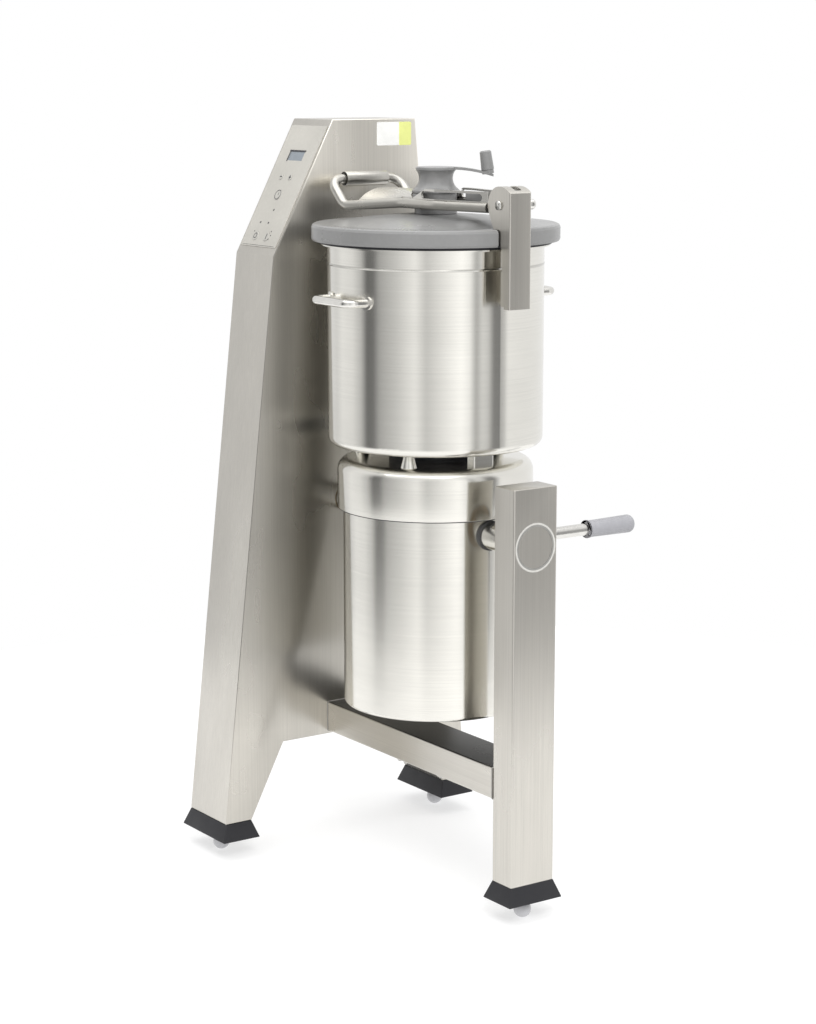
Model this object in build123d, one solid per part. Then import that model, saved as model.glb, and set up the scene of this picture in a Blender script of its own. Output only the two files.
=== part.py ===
from build123d import *

import os
from math import cos, hypot, radians, sin, sqrt

# Vertical cutter mixer. A stainless bowl with a hinged lid stands on a motor unit,
# which tilts on two trunnions between a control pedestal and a single leg.
# Everything is drawn about the bowl's axis, with z = 0 on the floor, +X towards the
# single leg and -Y towards the cook; the last section moves it to the base's centre.

# Clearances between pieces
RUN_GAP = 0.05
SEAT_GAP = 0.05
BODY_GAP = 0.3

# Stand: pedestal, leg and beam
SHEET = 2.0
PEDESTAL_TOP = 1400.0
POST_BOTTOM = 69.5
PEDESTAL_REACH = 294.0
PEDESTAL_WIDTH = 136.5
FRONT_TOE = 280.5
KNEE_OUT = 160.5
KNEE_DROP = 250.0
CREST_OUT = 28.5
TOP_REAR = 159.5
REAR_TOE = 285.5
TOE_DEPTH = 57.0
ARCH_CLEAR = 6.0
ARCH_HALF = 150.0
PANEL_LIP = 9.0
LEG_REACH = 244.0
LEG_WIDTH = 56.5
LEG_DEPTH = 94.0
LEG_RISE = 104.5
LEG_WALL = 3.0
LEG_FOLD = 3.0
BEAM_DEPTH = 96.0
BEAM_CLEAR = 65.0
BEAM_HEIGHT = 58.0
BEAM_WALL = 3.0
BEAM_BOLT_SPAN = 128.0
BEAM_BOLT_ROW = 33.0
BEAM_BOLT_HEAD = 7.5
BEAM_BOLT_DROP = 5.5

# Feet
FOOT_FLARE = 12.0
FOOT_HEIGHT = 33.0
GLIDE_RADIUS = 16.0
GLIDE_FLAT = 4.5
GLIDE_STEM = 8.0

# Tilt axis and its bearings
TILT_HEIGHT = 679.0
TRUNNION_RADIUS = 24.0
TRUNNION_WALL = 5.0
CABLE_TRUNNION_RADIUS = 26.0
BARREL_RADIUS = 43.5
BARREL_WALL = 7.0
BARREL_CAP = 4.0
BEARING_RADIUS = 48.0
BEARING_LENGTH = 22.0
BRAKE_RADIUS = 60.0
BRAKE_THICKNESS = 6.0
SHOULDER_RING = 3.0
SHOULDER_WIDTH = 4.0

# Tilt lever
LEVER_GAP = 24.0
LEVER_RADIUS = 11.0
LEVER_REACH = 282.0
GRIP_LENGTH = 106.0
GRIP_ROOT_RADIUS = 15.2
GRIP_END_RADIUS = 16.6
GRIP_COLLAR = 5.0

# Motor unit
CAN_RADIUS = 168.0
CAN_BELOW = 336.0
CAN_ABOVE = 66.0
CAN_WALL = 3.0
CAP_RADIUS = 178.5
CAP_RISE = 55.0
CAP_HEIGHT = 90.5
CAP_SHOULDER = 22.5
CAP_LIP = 6.5
SEAL_BOSS = 82.0
SEAL_SEAT = 14.0
STATOR_RADIUS = 115.0
STATOR_BORE = 66.0
STATOR_LIFT = 87.0
STATOR_HEIGHT = 170.0
WINDING_OVERHANG = 24.0
ROTOR_AIR_GAP = 1.0
SHAFT_RADIUS = 20.0
SPIGOT_RADIUS = 17.0
SHIELD_THICKNESS = 12.0
SHIELD_HUB = 56.0
BEARING_RACE = 40.0
BEARING_WIDTH = 18.0
FAN_RADIUS = 88.0
FAN_BLADES = 8
SEAL_RADIUS = 34.0
REST_HEIGHT = 25.0
REST_CIRCLE = 141.0
REST_RADIUS = 8.5
REST_FOOT = 15.0
REST_ANGLES = (-54.6, 90.0, 216.0)
LOCATOR_DEPTH = 44.0
LOCATOR_THICKNESS = 22.0
LOCATOR_OUT = 149.0
LOCATOR_RISE = 12.0
DOWEL_RADIUS = 6.0

# Bowl
BOWL_RADIUS = 195.0
BOWL_WALL = 2.0
BOWL_HEIGHT = 362.2
BOWL_CORNER = 16.0
RIM_RADIUS = 206.0
RIM_THICKNESS = 2.5
BEAD_DROP = 35.2
BEAD_PROUD = 0.9
CHIMNEY_RADIUS = 30.0
CHIMNEY_WALL = 3.0
CHIMNEY_HEIGHT = 133.0
HUB_RADIUS = 62.0
HUB_DROP = 13.0
HUB_BORE = 42.0
BAIL_TUBE = 7.5
BAIL_HALF = 57.0
BAIL_OUT = 233.0
BAIL_DROP = 94.2
BAIL_BEND = 17.0
BAIL_ROSE = 12.0
ROSE_THICKNESS = 4.0

# Cutter in the bowl
CUTTER_BORE = 33.0
CUTTER_RADIUS = 42.0
CUTTER_CLEAR = 3.0
CUTTER_CROWN = 38.0
COLLAR_RADIUS = 50.0
COLLAR_HEIGHT = 11.0
BLADE_CLEAR = 12.0
BLADE_THICKNESS = 4.0
BLADE_BEVEL = 9.0
BLADE_START = 10.0
BLADE_PITCH = 44.0
BLADE_COUNT = 3
BLADE_KNOB_RADIUS = 24.0
BLADE_KNOB_HEIGHT = 30.0

# Lid
LID_RADIUS = 223.0
LID_RIM_HEIGHT = 30.0
LID_WALL = 4.0
LID_RISE = 17.0
LID_SHOULDER = 189.0
SEAL_HEIGHT = 5.0
SEAL_OUTER = 208.0
NOTCH_HALF = 25.5
CARRIER_RADIUS = 38.0
CARRIER_RISE = 19.0
NECK_FLANGE = 43.0
NECK_WAIST = 31.0
NECK_HEIGHT = 39.0
NECK_MOUTH = 35.5

# Lid arm
ARM_TUBE = 9.0
ARM_RISE = 18.5
YOKE_HALF = 44.0
YOKE_FRONT = 44.0
YOKE_KNEE = 60.0
YOKE_END = 183.0
YOKE_RISE = 27.0
YOKE_SHEET = 4.0
YOKE_LIP = 5.0
YOKE_SLOPE = 52.0
WINDOW_START = 20.0
WINDOW_END = 13.0
ARM_ROOT_HALF = 9.5
LOOP_HALF = 76.0
LOOP_DIP_REACH = 182.0
LOOP_DIP = 11.0
GRIP_REACH = 229.0
GRIP_RISE = 35.0
LOOP_BEND = 25.0
ROLLER_RADIUS = 12.0
ROLLER_WALL = 1.5
ROLLER_LENGTH = 100.0
WEB_REACH = 163.0
WEB_INSET = 10.0
WEB_CROWN = 22.0
WEB_EDGE = 10.0
WEB_SHEET = 3.0

# Hinge bracket on the bowl
PIN_REACH = 219.0
PIN_RISE = 6.0
PIN_RADIUS = 6.0
PIN_NUT = 9.0
BRACKET_OUT = 250.0
BRACKET_HALF = 23.0
BRACKET_SHEET = 2.0
BRACKET_DROP = 100.2
SPACER_HEIGHT = 60.0
HEAD_RADIUS = 32.0
HEAD_SHOULDER = 21.0
ROOF_START = 14.0
ROOF_SLOT = 7.0
ROOF_SLOT_END = 24.0
DRUM_RADIUS = 26.0
TONGUE_HALF = 6.0
TONGUE_HEIGHT = 14.0
TONGUE_REACH = 73.0

# Wiper and crank on the lid
WIPER_SHAFT = 8.0
WIPER_ROD = 5.0
WIPER_REACH = 150.0
WIPER_DROP = 29.5
WIPER_UPRIGHT = 68.0
WIPER_BLADE_REACH = 164.0
CRANK_DISC = 36.0
CRANK_DISC_HEIGHT = 5.5
CRANK_ANGLE = 55.2
CRANK_REACH = 93.0
CRANK_DROP = 13.0
CRANK_WIDTH = 20.0
CRANK_THICKNESS = 4.5
KNOB_LEAN = 8.0
KNOB_HEIGHT = 38.0
KNOB_RADIUS = 11.5
KNOB_PIN = 4.0
KNOB_CLEAR = 4.4

# Control panel on the pedestal's slope
PANEL_WIDTH = 124.0
PANEL_START = 16.0
PANEL_END = 14.7
PANEL_THICKNESS = 1.5
PANEL_WINDOW = 96.0
PANEL_LAND = 6.0
DISPLAY_WIDTH = 50.0
DISPLAY_HEIGHT = 20.0
DISPLAY_AT = 204.5
KEY_PROUD = 1.0
KEY_TRAVEL = 1.5
KEY_FLANGE = 2.0
TIMER_ROW = 160.0
TIMER_KEY = 6.0
TIMER_MINUS_AT = -21.0
TIMER_PLUS_AT = 11.0
SPEED_ROW = 123.0
SPEED_KEY = 10.5
SPEED_AT = -5.0
MOTOR_ROW = 37.0
MOTOR_KEY = 9.0
STOP_AT = -22.0
START_AT = 17.0
BOARD_DEPTH = 18.0
BOARD_THICKNESS = 1.6
BOARD_END = 34.0

# Rear cover and electrics
COVER_WIDTH = 100.0
COVER_START = 330.0
COVER_LENGTH = 780.0
COVER_SHEET = 1.5
SLOT_COUNT = 7
SLOT_PITCH = 14.0
SCREW_HEAD = 4.5
GLAND_AT = 210.0
GLAND_BORE = 7.0
GLAND_BODY = 12.0
GLAND_LENGTH = 24.0
RACK_STANDOFF = 10.0
RACK_HEIGHT = 520.0
RACK_DROP = 119.0
RACK_WIDTH = 170.0
DRIVE_DEPTH = 84.0
DRIVE_WIDTH = 130.0
DRIVE_HEIGHT = 230.0
DRIVE_FIN = 14.0
CONTACTOR_WIDTH = 45.0
CONTACTOR_RISE = 96.0
TERMINAL_RISE = 26.0

# Places worked out from the sizes above, from the stand up to the lid's arm
PEDESTAL_OUT = PEDESTAL_REACH + PEDESTAL_WIDTH
PEDESTAL_MID = PEDESTAL_REACH + PEDESTAL_WIDTH / 2
KNEE_HEIGHT = PEDESTAL_TOP - KNEE_DROP
LEG_OUT = LEG_REACH + LEG_WIDTH
LEG_MID = LEG_REACH + LEG_WIDTH / 2
LEG_TOP = TILT_HEIGHT + LEG_RISE
FOOT_BOTTOM = POST_BOTTOM - FOOT_HEIGHT
LEVER_OFFSET = LEG_REACH - LEVER_GAP
CAN_BOTTOM = TILT_HEIGHT - CAN_BELOW
CAN_TOP = TILT_HEIGHT + CAN_ABOVE
BEAM_BOTTOM = CAN_BOTTOM - BEAM_CLEAR - BEAM_HEIGHT
ARCH_TOP = BEAM_BOTTOM - ARCH_CLEAR
STATOR_BOTTOM = CAN_BOTTOM + STATOR_LIFT
CAP_TOP = CAN_TOP + CAP_RISE
CAP_SKIRT = CAP_TOP - CAP_HEIGHT
LOCATOR_SPLIT = CAP_TOP + LOCATOR_RISE
BOWL_BOTTOM = CAP_TOP + REST_HEIGHT
BOWL_TOP = BOWL_BOTTOM + BOWL_HEIGHT
BEAD_HEIGHT = BOWL_TOP - BEAD_DROP
BAIL_HEIGHT = BOWL_TOP - BAIL_DROP
BRACKET_BOTTOM = BOWL_TOP - BRACKET_DROP
CHIMNEY_TOP = BOWL_BOTTOM + CHIMNEY_HEIGHT
CUTTER_FOOT = BOWL_BOTTOM + BOWL_WALL + CUTTER_CLEAR
CUTTER_TOP = CHIMNEY_TOP + CUTTER_CROWN
BLADE_REACH = BOWL_RADIUS - BOWL_WALL - BLADE_CLEAR
BLADE_LEVELS = [CUTTER_FOOT + BLADE_START + i * BLADE_PITCH for i in range(BLADE_COUNT)]
LID_BOTTOM = BOWL_TOP + BODY_GAP + SEAL_HEIGHT
LID_RIM_TOP = LID_BOTTOM + LID_RIM_HEIGHT
LID_CROWN = LID_RIM_TOP + LID_RISE
WIPER_ARM_HEIGHT = LID_CROWN - WIPER_DROP
WIPER_DEPTH = WIPER_ARM_HEIGHT - WIPER_UPRIGHT
ARM_HEIGHT = LID_CROWN + ARM_RISE
CARRIER_TOP = ARM_HEIGHT + CARRIER_RISE
NECK_TOP = CARRIER_TOP + NECK_HEIGHT
YOKE_TOP = ARM_HEIGHT + YOKE_RISE
LOOP_DIP_HEIGHT = ARM_HEIGHT - LOOP_DIP
GRIP_HEIGHT = ARM_HEIGHT + GRIP_RISE
PIN_HEIGHT = ARM_HEIGHT + PIN_RISE
RACK_BOTTOM = TILT_HEIGHT - RACK_DROP
BASE_X = (LEG_OUT - PEDESTAL_OUT) / 2
BASE_Y = (REAR_TOE - FRONT_TOE) / 2

# Keys on the panel: across the slope, up the slope, radius
KEYS = {
    "key_timer_minus": (TIMER_MINUS_AT, TIMER_ROW, TIMER_KEY),
    "key_timer_plus": (TIMER_PLUS_AT, TIMER_ROW, TIMER_KEY),
    "key_speed_ring": (SPEED_AT, SPEED_ROW, SPEED_KEY),
    "key_stop": (STOP_AT, MOTOR_ROW, MOTOR_KEY),
    "key_start": (START_AT, MOTOR_ROW, MOTOR_KEY),
}


# Basic solids, placed by their faces

def block(x0, x1, y0, y1, z0, z1):
    centre = Pos((x0 + x1) / 2, (y0 + y1) / 2, (z0 + z1) / 2)
    return centre * Box(x1 - x0, y1 - y0, z1 - z0)


def disc_z(radius, z0, z1, x=0.0, y=0.0):
    return Pos(x, y, (z0 + z1) / 2) * Cylinder(radius, z1 - z0)


def disc_x(radius, x0, x1, y=0.0, z=TILT_HEIGHT):
    return Pos((x0 + x1) / 2, y, z) * Rot(0, 90, 0) * Cylinder(radius, x1 - x0)


def disc_y(radius, y0, y1, x, z):
    return Pos(x, (y0 + y1) / 2, z) * Rot(90, 0, 0) * Cylinder(radius, y1 - y0)


def slab_x(face, x0, x1):
    """An outline drawn in Y and Z, carried along X."""
    return extrude(Plane.YZ.offset(x0) * face, amount=x1 - x0)


def slab_y(face, y0, y1):
    """An outline drawn in X and Z, carried along Y."""
    return extrude(Plane.XZ.offset(-y1) * face, amount=y1 - y0)


def slab_z(face, z0, z1):
    """An outline drawn in X and Y, carried up."""
    return extrude(Plane.XY.offset(z0) * face, amount=z1 - z0)


def outline(*points):
    return make_face(Polyline(*points, close=True))


def turned(face):
    """A half section, drawn in radius and height, turned about the bowl's axis."""
    return revolve(Plane.XZ * face, axis=Axis.Z)


def tube_along(path, radius):
    return sweep(Plane(origin=path @ 0, z_dir=path % 0) * Circle(radius), path=path)


def group(*shapes):
    """Separate solids that share a node."""
    return Compound([solid for shape in shapes for solid in shape.solids()])


# Stand: a folded sheet pedestal, a box-section leg and the beam between them

def pedestal_outline():
    return outline(
        (-FRONT_TOE, POST_BOTTOM),
        (-KNEE_OUT, KNEE_HEIGHT),
        (-CREST_OUT, PEDESTAL_TOP),
        (TOP_REAR, PEDESTAL_TOP),
        (REAR_TOE, POST_BOTTOM),
        (REAR_TOE - TOE_DEPTH, POST_BOTTOM),
        (ARCH_HALF, ARCH_TOP),
        (-ARCH_HALF, ARCH_TOP),
        (TOE_DEPTH - FRONT_TOE, POST_BOTTOM),
    )


SLOPE_RUN = KNEE_OUT - CREST_OUT
SLOPE_RISE = PEDESTAL_TOP - KNEE_HEIGHT
SLOPE_LENGTH = hypot(SLOPE_RUN, SLOPE_RISE)
SLOPE = Plane(
    origin=(-PEDESTAL_MID, -KNEE_OUT, KNEE_HEIGHT),
    x_dir=(1, 0, 0),
    z_dir=(0, -SLOPE_RISE, SLOPE_RUN),
)
REAR_RUN = REAR_TOE - TOP_REAR
REAR_RISE = PEDESTAL_TOP - POST_BOTTOM
REAR_WALL = Plane(
    origin=(-PEDESTAL_MID, REAR_TOE, POST_BOTTOM),
    x_dir=(-1, 0, 0),
    z_dir=(0, REAR_RISE, REAR_RUN),
)


def plate_on(plane, x, y, width, height, z0, z1):
    """A rectangular block that stands on a sloping plane from z0 to z1."""
    return plane * Pos(x, y, (z0 + z1) / 2) * Box(width, height, z1 - z0)


def disc_on(plane, x, y, radius, z0, z1):
    return plane * Pos(x, y, (z0 + z1) / 2) * Cylinder(radius, z1 - z0)


PANEL_LENGTH = SLOPE_LENGTH - PANEL_START - PANEL_END
PANEL_MID = PANEL_START + PANEL_LENGTH / 2
COVER_MID = COVER_START + COVER_LENGTH / 2
COVER_LAND = 8.0


def pedestal_shell():
    """Outer side and wrap in one folded sheet, open towards the bowl."""
    skin = slab_x(pedestal_outline(), -PEDESTAL_OUT, -PEDESTAL_REACH - SHEET)
    inside = offset(pedestal_outline(), amount=-SHEET, kind=Kind.INTERSECTION)
    skin -= slab_x(inside, SHEET - PEDESTAL_OUT, -PEDESTAL_REACH)
    length = PANEL_LENGTH - 2 * PANEL_LAND
    skin -= plate_on(SLOPE, 0, PANEL_MID, PANEL_WINDOW, length, -2 * SHEET, SHEET)
    width, length = COVER_WIDTH - 2 * COVER_LAND, COVER_LENGTH - 2 * COVER_LAND
    skin -= plate_on(REAR_WALL, 0, COVER_MID, width, length, -2 * SHEET, SHEET)
    return skin - disc_on(REAR_WALL, 0, GLAND_AT, GLAND_BODY - 3, -2 * SHEET, SHEET)


def pedestal_side_panel():
    """The side towards the bowl, with a lip folded back inside the wrap."""
    panel = slab_x(pedestal_outline(), -PEDESTAL_REACH - SHEET, -PEDESTAL_REACH)
    rim = offset(pedestal_outline(), amount=-SHEET - SEAT_GAP, kind=Kind.INTERSECTION)
    core = offset(pedestal_outline(), amount=-2 * SHEET, kind=Kind.INTERSECTION)
    lip_start = -PEDESTAL_REACH - SHEET - PANEL_LIP
    panel += slab_x(rim - core, lip_start, -PEDESTAL_REACH - SHEET)
    panel -= disc_x(CABLE_TRUNNION_RADIUS + 2, lip_start, -PEDESTAL_REACH + 1)
    return panel


def rear_cover():
    """Lift-off cover over the electrics, with two groups of air slots."""
    cover = plate_on(REAR_WALL, 0, COVER_MID, COVER_WIDTH, COVER_LENGTH, 0, COVER_SHEET)
    for end in (-1, 1):
        for step in range(SLOT_COUNT):
            along = COVER_MID + end * (COVER_LENGTH / 2 - 60 - step * SLOT_PITCH)
            slot = Pos(0, along, 0) * SlotOverall(COVER_WIDTH - 44, 5)
            cover -= extrude(REAR_WALL * slot, amount=COVER_SHEET + 1)
    return cover


def cover_screws():
    """Raised-head screws down both edges of the rear cover."""
    screws = []
    for side in (-1, 1):
        for row in range(4):
            x = side * (COVER_WIDTH / 2 - COVER_LAND / 2 - 1)
            along = COVER_START + 12 + row * (COVER_LENGTH - 24) / 3
            head = chamfer(disc_z(SCREW_HEAD, 0, 2.4).edges().group_by(Axis.Z)[-1], 1.2)
            screws.append(REAR_WALL * Pos(x, along, COVER_SHEET) * head)
    return group(*screws)


def cable_gland():
    gland = disc_on(REAR_WALL, 0, GLAND_AT, GLAND_BODY - 3.1, -10, 0)
    hexagon = Pos(0, GLAND_AT, 0) * RegularPolygon(GLAND_BODY, 6)
    gland += extrude(REAR_WALL * hexagon, amount=8)
    gland += disc_on(REAR_WALL, 0, GLAND_AT, GLAND_BODY - 2, 8, GLAND_LENGTH - 10)
    gland -= disc_on(REAR_WALL, 0, GLAND_AT, GLAND_BORE, -11, GLAND_LENGTH)
    return gland


def right_leg():
    """Box-section post, bored through for the bearing barrel."""
    post = block(LEG_REACH, LEG_OUT, -LEG_DEPTH / 2, LEG_DEPTH / 2, POST_BOTTOM, LEG_TOP)
    post = fillet(post.edges().filter_by(Axis.Z), LEG_FOLD)
    hollow = block(
        LEG_REACH + LEG_WALL,
        LEG_OUT - LEG_WALL,
        LEG_WALL - LEG_DEPTH / 2,
        LEG_DEPTH / 2 - LEG_WALL,
        POST_BOTTOM + LEG_WALL,
        LEG_TOP - LEG_WALL,
    )
    post -= hollow
    post -= disc_x(BARREL_RADIUS + SEAT_GAP, LEG_REACH - 1, LEG_OUT + 1)
    post -= disc_z(GLIDE_STEM + 0.5, POST_BOTTOM - 1, POST_BOTTOM + LEG_WALL + 1, LEG_MID)
    return post


def cross_beam():
    """Rectangular tube from the pedestal's side to the leg, closed by both."""
    start, half, top = -PEDESTAL_REACH, BEAM_DEPTH / 2, BEAM_BOTTOM + BEAM_HEIGHT
    beam = block(start, LEG_REACH, -half, half, BEAM_BOTTOM, top)
    beam = fillet(beam.edges().filter_by(Axis.X), 3)
    beam -= block(
        start - 1,
        LEG_REACH + 1,
        BEAM_WALL - half,
        half - BEAM_WALL,
        BEAM_BOTTOM + BEAM_WALL,
        top - BEAM_WALL,
    )
    return beam


def beam_bolts():
    """Raised-head bolts on the beam's underside."""
    bolts = []
    for x in (-BEAM_BOLT_SPAN / 2, BEAM_BOLT_SPAN / 2):
        for y in (-BEAM_BOLT_ROW, BEAM_BOLT_ROW):
            head = disc_z(BEAM_BOLT_HEAD, BEAM_BOTTOM - BEAM_BOLT_DROP, BEAM_BOTTOM, x, y)
            bolts.append(chamfer(head.edges().group_by(Axis.Z)[0], 2.5))
    return group(*bolts)


def foot(x0, x1, y0, y1):
    """Moulded shoe: the post's own section, flared out towards the floor."""
    top = Pos((x0 + x1) / 2, (y0 + y1) / 2, POST_BOTTOM) * Rectangle(x1 - x0, y1 - y0)
    wide = Rectangle(x1 - x0 + 2 * FOOT_FLARE, y1 - y0 + 2 * FOOT_FLARE)
    base = Pos((x0 + x1) / 2, (y0 + y1) / 2, FOOT_BOTTOM) * wide
    shoe = loft([base.face(), top.face()])
    centre = ((x0 + x1) / 2, (y0 + y1) / 2)
    shoe -= disc_z(GLIDE_STEM + SEAT_GAP, FOOT_BOTTOM - 1, POST_BOTTOM + 1, *centre)
    return shoe


def glide(x, y):
    """Domed nylon glide on a threaded stem, with a small flat to stand on."""
    sink = GLIDE_RADIUS - sqrt(GLIDE_RADIUS**2 - GLIDE_FLAT**2)
    dome = Pos(x, y, GLIDE_RADIUS - sink) * Sphere(GLIDE_RADIUS)
    dome &= block(x - 30, x + 30, y - 30, y + 30, 0, FOOT_BOTTOM - 6)
    dome += disc_z(GLIDE_STEM, FOOT_BOTTOM - 10, POST_BOTTOM - 4, x, y)
    dome += disc_z(GLIDE_STEM + 5, FOOT_BOTTOM - 6, FOOT_BOTTOM, x, y)
    return dome


FEET = {
    "front_left": (-PEDESTAL_OUT, -PEDESTAL_REACH, -FRONT_TOE, TOE_DEPTH - FRONT_TOE),
    "rear_left": (-PEDESTAL_OUT, -PEDESTAL_REACH, REAR_TOE - TOE_DEPTH, REAR_TOE),
    "right": (LEG_REACH, LEG_OUT, -LEG_DEPTH / 2, LEG_DEPTH / 2),
}


# Tilt bearings: a barrel through the leg, a flanged bearing inside the pedestal

def bearing_barrel():
    """Tube welded through both walls of the leg; its end is the ring on the outside."""
    barrel = disc_x(BARREL_RADIUS, LEG_REACH, LEG_OUT)
    return barrel - disc_x(BARREL_RADIUS - BARREL_WALL, LEG_REACH - 1, LEG_OUT + 1)


def barrel_cap():
    return disc_x(BARREL_RADIUS - BARREL_WALL - SEAT_GAP, LEG_OUT - BARREL_CAP, LEG_OUT - 0.4)


def leg_bush():
    bush = disc_x(BARREL_RADIUS - BARREL_WALL - SEAT_GAP, LEG_REACH + 4, LEG_OUT - BARREL_CAP - 8)
    return bush - disc_x(TRUNNION_RADIUS + RUN_GAP, LEG_REACH, LEG_OUT)


def pedestal_bearing():
    """Square-flanged plain bearing bolted inside the side panel."""
    inner = -PEDESTAL_REACH - SHEET
    flange = block(
        inner - 8,
        inner,
        -BEARING_RADIUS,
        BEARING_RADIUS,
        TILT_HEIGHT - BEARING_RADIUS,
        TILT_HEIGHT + BEARING_RADIUS,
    )
    flange = fillet(flange.edges().filter_by(Axis.X), 10)
    flange += disc_x(BEARING_RADIUS - 10, inner - BEARING_LENGTH, inner)
    return flange - disc_x(CABLE_TRUNNION_RADIUS + RUN_GAP, inner - 50, inner + 1)


def bearing_bolts():
    bolts = []
    start = -PEDESTAL_REACH - SHEET - 8
    reach = BEARING_RADIUS - 11
    for y in (-reach, reach):
        for z in (-reach, reach):
            hexagon = Pos(y, TILT_HEIGHT + z) * RegularPolygon(6, 6)
            bolts.append(slab_x(hexagon, start - 5, start))
    return group(*bolts)


BRAKE_X = -PEDESTAL_REACH - SHEET - BEARING_LENGTH - 8


def brake_pads():
    """A caliper on the side panel with one lined jaw each side of the disc."""
    low = TILT_HEIGHT - BRAKE_RADIUS - 14
    high = TILT_HEIGHT - BRAKE_RADIUS + 22
    caliper = block(BRAKE_X - BRAKE_THICKNESS - 10, -PEDESTAL_REACH - SHEET, -20, 20, low, high)
    caliper -= block(
        BRAKE_X - BRAKE_THICKNESS - BODY_GAP, BRAKE_X + BODY_GAP, -21, 21, low + 8, high + 1
    )
    bearing_room = -PEDESTAL_REACH - SHEET - BEARING_LENGTH - 1
    return caliper - block(bearing_room, -PEDESTAL_REACH, -21, 21, low + 8, high + 1)


# Motor unit: can, cap, trunnions, lever and the motor inside

def motor_can():
    """Rolled can with a flat pressed bottom."""
    can = disc_z(CAN_RADIUS, CAN_BOTTOM, CAN_TOP)
    can = fillet(can.edges().group_by(Axis.Z)[0], 6)
    can -= disc_z(CAN_RADIUS - CAN_WALL, CAN_BOTTOM + CAN_WALL, CAN_TOP + 1)
    can -= disc_x(CABLE_TRUNNION_RADIUS - 8, -CAN_RADIUS - 1, 0)
    return can


def motor_cap():
    """Spun cap that drops over the can, with a boss at its centre for the shaft seal."""
    cap = disc_z(CAP_RADIUS, CAP_SKIRT, CAP_TOP)
    cap = fillet(cap.edges().group_by(Axis.Z)[-1], CAP_SHOULDER)
    inside = disc_z(CAP_RADIUS - CAN_WALL, CAP_SKIRT + CAP_LIP, CAP_TOP - CAN_WALL)
    cap -= fillet(inside.edges().group_by(Axis.Z)[-1], CAP_SHOULDER - CAN_WALL)
    cap -= disc_z(CAN_RADIUS + SEAT_GAP, CAP_SKIRT - 1, CAP_SKIRT + CAP_LIP + 1)
    cap += disc_z(SEAL_BOSS, CAP_TOP - SEAL_SEAT, CAP_TOP + 4)
    return cap - disc_z(SEAL_RADIUS + SEAT_GAP, CAP_TOP - 20, CAP_TOP + 5)


def shaft_seal():
    """Lip seal with a raised collar that throws water off the shaft."""
    section = outline(
        (SHAFT_RADIUS + BODY_GAP, CAP_TOP - 12),
        (SEAL_RADIUS, CAP_TOP - 12),
        (SEAL_RADIUS, CAP_TOP + 4),
        (SEAL_RADIUS - 5, CAP_TOP + 9),
        (SPIGOT_RADIUS + BODY_GAP, CAP_TOP + 9),
        (SPIGOT_RADIUS + BODY_GAP, CAP_TOP + 5),
        (SHAFT_RADIUS + BODY_GAP, CAP_TOP + 1),
    )
    return turned(section)


def bowl_rests():
    """Three conical pegs on the cap that carry the bowl."""
    peg = Pos(0, 0, CAP_TOP + REST_HEIGHT / 2) * Cone(REST_FOOT, REST_RADIUS, REST_HEIGHT)
    pegs = [Rot(0, 0, angle) * Pos(REST_CIRCLE, 0, 0) * peg for angle in REST_ANGLES]
    return group(*pegs)


def locator_block(z0, z1):
    """Upright block beside the hinge, cut to stand on the cap's flat top."""
    half = LOCATOR_DEPTH / 2
    upright = block(LOCATOR_OUT - LOCATOR_THICKNESS, LOCATOR_OUT, -half, half, z0, z1)
    return fillet(upright.edges().filter_by(Axis.Z), 3)


LOCATOR_MID = LOCATOR_OUT - LOCATOR_THICKNESS / 2


def bowl_locator():
    """Block on the cap, with the dowel that stops the bowl from turning."""
    dowel = disc_z(DOWEL_RADIUS, CAP_TOP, BOWL_BOTTOM - 5, LOCATOR_MID)
    return locator_block(CAP_TOP, LOCATOR_SPLIT) + dowel


def bowl_lug():
    """Lug under the bowl that drops over the dowel."""
    lug = locator_block(LOCATOR_SPLIT + BODY_GAP, BOWL_BOTTOM)
    return lug - disc_z(DOWEL_RADIUS + BODY_GAP, CAP_TOP, BOWL_BOTTOM - 4, LOCATOR_MID)


def trunnion(radius, x0, x1, wall):
    """Hollow tube, its root coped to the can."""
    tube = disc_x(radius, x0, x1) - disc_x(radius - wall, x0 - 1, x1 + 1)
    return tube - disc_z(CAN_RADIUS, CAN_BOTTOM, CAN_TOP)


def leg_trunnion():
    return trunnion(TRUNNION_RADIUS, CAN_RADIUS - 4, LEG_OUT - BARREL_CAP - 4, TRUNNION_WALL)


def cable_trunnion():
    """Hollow trunnion for the cables, with the disc that the brake holds at any tilt."""
    end = BRAKE_X - BRAKE_THICKNESS - 4
    tube = trunnion(CABLE_TRUNNION_RADIUS, end, 4 - CAN_RADIUS, TRUNNION_WALL)
    disc = disc_x(BRAKE_RADIUS, BRAKE_X - BRAKE_THICKNESS, BRAKE_X)
    return tube + disc - disc_x(CABLE_TRUNNION_RADIUS - TRUNNION_WALL, end - 1, BRAKE_X + 1)


def trunnion_ring():
    """Dark rubber ring round the trunnion's root, cut to the can's curve."""
    ring = disc_x(TRUNNION_RADIUS + SHOULDER_RING, CAN_RADIUS - 6, CAN_RADIUS + SHOULDER_WIDTH)
    ring -= disc_x(TRUNNION_RADIUS + SEAT_GAP, CAN_RADIUS - 10, CAN_RADIUS + 20)
    return ring - disc_z(CAN_RADIUS, CAN_BOTTOM, CAN_TOP)


def lever_rod():
    """Steel rod, its root coped to the trunnion."""
    rod = disc_y(LEVER_RADIUS, TRUNNION_RADIUS - 8, LEVER_REACH - 18, LEVER_OFFSET, TILT_HEIGHT)
    return rod - disc_x(TRUNNION_RADIUS, LEVER_OFFSET - 30, LEVER_OFFSET + 30)


GRIP_START = LEVER_REACH - GRIP_LENGTH


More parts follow.
